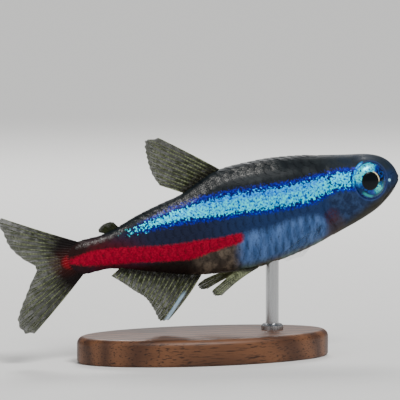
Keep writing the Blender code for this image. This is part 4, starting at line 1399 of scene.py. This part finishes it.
def build_fins(settings):
    """Every fin: a clear membrane over forked rays."""
    caudal_nodes = ("fin_caudal_upper", "fin_caudal_lower")
    dorsal_base, anal_base = median_base(DORSAL_BASE, True), median_base(ANAL_BASE, False)
    fins = [
        Fin("dorsal_fin", ("fin_dorsal",), 11, dorsal_base, DORSAL_TIPS, 0.005, curl(0.15, 0.15)),
        Fin("anal_fin", ("fin_anal",), 18, anal_base, ANAL_TIPS, -0.03, curl(-0.15, -0.15)),
        Fin("caudal_fin", caudal_nodes, 19, caudal_base, CAUDAL_TIPS, -0.005, curl(-0.3, 0.2)),
    ]
    for make, kind in ((pelvic_fin, "pelvic"), (pectoral_fin, "pectoral")):
        for side, flank in ((-1, "right"), (1, "left")):
            fins.append(make(f"{kind}_fin_{flank}", f"fin_{kind}_{flank}", side))
    tree = ray_tree()
    dusky = membrane_material("dusky_fin_membrane", settings, settings.clear)
    clear = membrane_material("clear_fin_membrane", settings, settings.clear * 0.07)
    horn = ray_material("jointed_fin_ray", settings, 1.0)
    fine_horn = ray_material("clear_fin_ray", settings, 0.1)
    for fin in fins:
        fin_membrane(fin, clear if fin.clear else dusky, settings)
        fin_rays(fin, tree, fine_horn if fin.clear else horn, settings)
    adipose_base = median_base(ADIPOSE_BASE, True, ADIPOSE_SUNK)
    adipose = Fin("adipose_fin", ("fin_adipose",), 5, adipose_base, ADIPOSE_TIPS, 0.0, curl(0.0, 0.0))
    fin_membrane(adipose, membrane_material("fleshy_fin_skin", settings, 0.9), settings)


def walnut_material(settings):
    """Oiled walnut, turned and sanded: long dark growth lines and short open pores, with a low sheen."""
    material, put, shader = new_material("oiled_walnut")
    place = put("ShaderNodeTexCoord").outputs["Object"]
    waves = {
        "Vector": put("stretch", place, (0.12 / MM, 1 / MM, 0.9 / MM), (0.0, 0.05, 0.1)),
        "Scale": 0.22, "Distortion": 5.0, "Detail": 3.0, "Detail Scale": 1.2,
    }
    rings = put("ShaderNodeTexWave", waves, bands_direction="Y").outputs["Fac"]
    fibre = put("plain_noise", put("stretch", place, (0.5 / MM, 9 / MM, 9 / MM)), 1.0, 3.0)
    colour = put("blend", rings, settings.dark_wood, settings.light_wood)
    fill(shader, {
        "Base Color": graded(put, fibre, 0.52, 0.68, colour, "#2A170D"),
        "Roughness": put("range", fibre, 0.32, 0.55),
        "Normal": put("bump", fibre, 0.35, 0.03 * MM, 0.5, invert=True),
        "Specular IOR Level": 0.35,
    })
    return material


def steel_material():
    """Stainless steel rod, drawn and polished along its length: fine long scratches."""
    material, put, shader = new_material("drawn_stainless_steel")
    place = put("ShaderNodeTexCoord").outputs["Object"]
    scratches = put("plain_noise", put("stretch", place, (12 / MM, 12 / MM, 0.3 / MM)), 1.0, 2.0)
    fill(shader, {
        "Base Color": put("blend", scratches, "#9C9DA0", "#C4C5C6"),
        "Roughness": put("range", scratches, 0.16, 0.36),
        "Metallic": 1.0,
    })
    return material


def turned_piece(name, profile, centre, stretch=1.0, columns=160):
    """A closed piece turned about an upright line from (radius, height) rows, widened along X."""
    turn = 2 * math.pi * np.arange(columns) / columns
    radius, height = np.array(profile).T[..., None]
    inset = radius.max() - radius
    x = centre.x + (radius.max() * stretch - inset) * np.cos(turn) * (radius > 0)
    y = centre.y + radius * np.sin(turn)
    points = np.stack(np.broadcast_arrays(x, y, height), -1)
    piece = new_piece(name, points, grid_faces(len(profile), columns, True))
    mend(piece, 1e-8)
    return piece


def build_stand(settings):
    """An oval walnut base with a rolled edge, and a steel rod with a collar, up into the belly."""
    low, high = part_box("stand_base")
    centre = (low + high) / 2
    half_width, height = (high.y - low.y) / 2, high.z
    stretch = (high.x - low.x) / (high.y - low.y)
    bevel, foot = settings.bevel, BASE_FOOT * MM
    profile = [(0.0, 0.0), (half_width - foot, 0.0)]
    for a in np.linspace(0.0, math.pi / 2, 6)[1:]:
        profile.append((half_width - foot * (1 - math.sin(a)), foot * (1 - math.cos(a))))
    for a in np.linspace(0.0, math.pi / 2, 12):
        profile.append((half_width - bevel * (1 - math.cos(a)), height - bevel * (1 - math.sin(a))))
    profile.append((0.0, height))
    base = turned_piece("stand_base_wood", profile, centre, stretch, 200)
    base.data.shade_smooth()
    finish_piece(base, walnut_material(settings), ("stand_base",))

    rod_low, rod_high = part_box("stand_rod")
    middle = (rod_low + rod_high) / 2
    radius = (rod_high.x - rod_low.x) / 2
    collar = radius * COLLAR_SHARE
    seat, top = height - COLLAR_SUNK * MM, rod_high.z + ROD_SUNK * MM
    profile = [(0.0, seat), (collar, seat), (collar, height + (COLLAR_HEIGHT - COLLAR_BEVEL) * MM)]
    profile.append((collar - COLLAR_BEVEL * MM, height + COLLAR_HEIGHT * MM))
    profile += [(radius, height + (COLLAR_HEIGHT + 0.05) * MM), (radius, top), (0.0, top)]
    rod = turned_piece("stand_rod_steel", profile, middle, 1.0, 64)
    finish_piece(rod, steel_material(), ("stand_rod",))
    rod.data.set_sharp_from_angle(angle=math.radians(35))


def direction(azimuth, elevation):
    """The way out from the fish at two angles in degrees; azimuth 0 looks straight at its right flank."""
    a, e = math.radians(azimuth), math.radians(elevation)
    return Vector((math.sin(a) * math.cos(e), -math.cos(a) * math.cos(e), math.sin(e)))


def face_fish(name, data, out, distance):
    """Put a light or the camera at a distance from the fish, turned towards it."""
    thing = bpy.data.objects.new(name, data)
    thing.location = Vector(CAMERA_LOOK) * MM + out * distance
    thing.rotation_mode = "QUATERNION"
    thing.rotation_quaternion = (-out).to_track_quat("-Z", "Y")
    bpy.context.scene.collection.objects.link(thing)
    return thing


def add_light(name, out, distance, size, power):
    """A soft square light that faces the fish."""
    lamp = bpy.data.lights.new(name, "AREA")
    lamp.shape, lamp.size, lamp.energy = "SQUARE", size, power
    face_fish(name, lamp, out, distance)


def build_stage(settings):
    """A pale floor, three soft lights, a pale surround and the camera of the photo."""
    half = settings.floor_size / 2
    corners = [(-half, -half, 0), (half, -half, 0), (half, half, 0), (-half, half, 0)]
    floor = new_piece("floor", corners, [(0, 1, 2, 3)])
    material, put, shader = new_material("matt_paper")
    place = put("ShaderNodeTexCoord").outputs["Object"]
    fibre = put("plain_noise", place, 400.0, 3.0)
    lighter = tuple(min(1.0, c * 1.03) for c in settings.floor)
    colour = put("blend", fibre, settings.floor, lighter)
    fill(shader, {"Base Color": colour, "Roughness": 1.0, "Specular IOR Level": 0.0})
    floor.data.materials.append(material)

    # The key is a wide, even light from far away, as from a large ceiling panel
    key = bpy.data.lights.new("key_light", "SUN")
    key.angle, key.energy = math.radians(24), 2.7
    face_fish("key_light", key, direction(15, 52), 0.0)
    add_light("rim_light", direction(160, 42), 0.35, 0.12, 0.7)
    add_light("fill_light", direction(-70, 25), 0.4, 0.25, 0.25)

    world = bpy.data.worlds.new("pale_surround")
    world.use_nodes = True
    fill(world.node_tree.nodes["Background"], {"Color": "#EDEFF2", "Strength": 0.4})
    bpy.context.scene.world = world

    lens = bpy.data.cameras.new("photo_camera")
    lens.sensor_width = SENSOR_WIDTH
    lens.lens = SENSOR_WIDTH * CAMERA_DISTANCE / PICTURE_WIDTH
    lens.clip_start = 0.01
    out = direction(CAMERA_AZIMUTH, CAMERA_ELEVATION)
    bpy.context.scene.camera = face_fish("photo_camera", lens, out, CAMERA_DISTANCE * MM)


class NEON_OT_skin(bpy.types.Operator):
    """Build the fish's skin with its markings"""

    bl_idname = "neon.skin"
    bl_label = "Skin"

    def execute(self, context):
        build_skin(context.scene.neon_skin)
        return {"FINISHED"}


class NEON_OT_scales(bpy.types.Operator):
    """Lay the scales over the skin"""

    bl_idname = "neon.scales"
    bl_label = "Scales"

    def execute(self, context):
        build_scales(context.scene.neon_skin, context.scene.neon_scales)
        return {"FINISHED"}


class NEON_OT_eyes(bpy.types.Operator):
    """Build both eyes"""

    bl_idname = "neon.eyes"
    bl_label = "Eyes"

    def execute(self, context):
        settings = context.scene.neon_eyes
        finish = eye_material(settings)
        build_eye("eyeball_right", -1, "eye_right", finish, settings)
        build_eye("eyeball_left", 1, "eye_left", finish, settings)
        return {"FINISHED"}


class NEON_OT_fins(bpy.types.Operator):
    """Build every fin with its rays"""

    bl_idname = "neon.fins"
    bl_label = "Fins"

    def execute(self, context):
        build_fins(context.scene.neon_fins)
        return {"FINISHED"}


class NEON_OT_stand(bpy.types.Operator):
    """Build the display stand"""

    bl_idname = "neon.stand"
    bl_label = "Stand"

    def execute(self, context):
        build_stand(context.scene.neon_stand)
        return {"FINISHED"}


class NEON_OT_stage(bpy.types.Operator):
    """Build the floor, the lights and the camera"""

    bl_idname = "neon.stage"
    bl_label = "Stage"

    def execute(self, context):
        build_stage(context.scene.neon_stage)
        return {"FINISHED"}


class NEON_PT_panel(bpy.types.Panel):
    """Everything that builds the neon tetra"""

    bl_idname = "NEON_PT_panel"
    bl_label = "Neon tetra"
    bl_space_type = "VIEW_3D"
    bl_region_type = "UI"
    bl_category = "Neon tetra"

    def draw(self, context):
        """One box for each group, with its button and its settings."""
        for name, _, operator in GROUPS:
            box = self.layout.box()
            box.operator(operator.bl_idname)
            settings = getattr(context.scene, name)
            for key in settings.bl_rna.properties.keys():
                if key not in ("rna_type", "name"):
                    box.prop(settings, key)


GROUPS = (
    ("neon_skin", NeonSkinSettings, NEON_OT_skin),
    ("neon_scales", NeonScaleSettings, NEON_OT_scales),
    ("neon_eyes", NeonEyeSettings, NEON_OT_eyes),
    ("neon_fins", NeonFinSettings, NEON_OT_fins),
    ("neon_stand", NeonStandSettings, NEON_OT_stand),
    ("neon_stage", NeonStageSettings, NEON_OT_stage),
)


def register():
    """Add the settings, the operators and the panel to Blender."""
    for name, group, operator in GROUPS:
        bpy.utils.register_class(group)
        setattr(bpy.types.Scene, name, PointerProperty(type=group))
        bpy.utils.register_class(operator)
    bpy.utils.register_class(NEON_PT_panel)


def unregister():
    """Take them out again."""
    bpy.utils.unregister_class(NEON_PT_panel)
    for name, group, operator in reversed(GROUPS):
        bpy.utils.unregister_class(operator)
        delattr(bpy.types.Scene, name)
        bpy.utils.unregister_class(group)


def main():
    """Build everything in order."""
    register()
    bpy.ops.neon.skin()
    bpy.ops.neon.scales()
    bpy.ops.neon.eyes()
    bpy.ops.neon.fins()
    bpy.ops.neon.stand()
    bpy.ops.neon.stage()


if __name__ == "__main__":
    main()
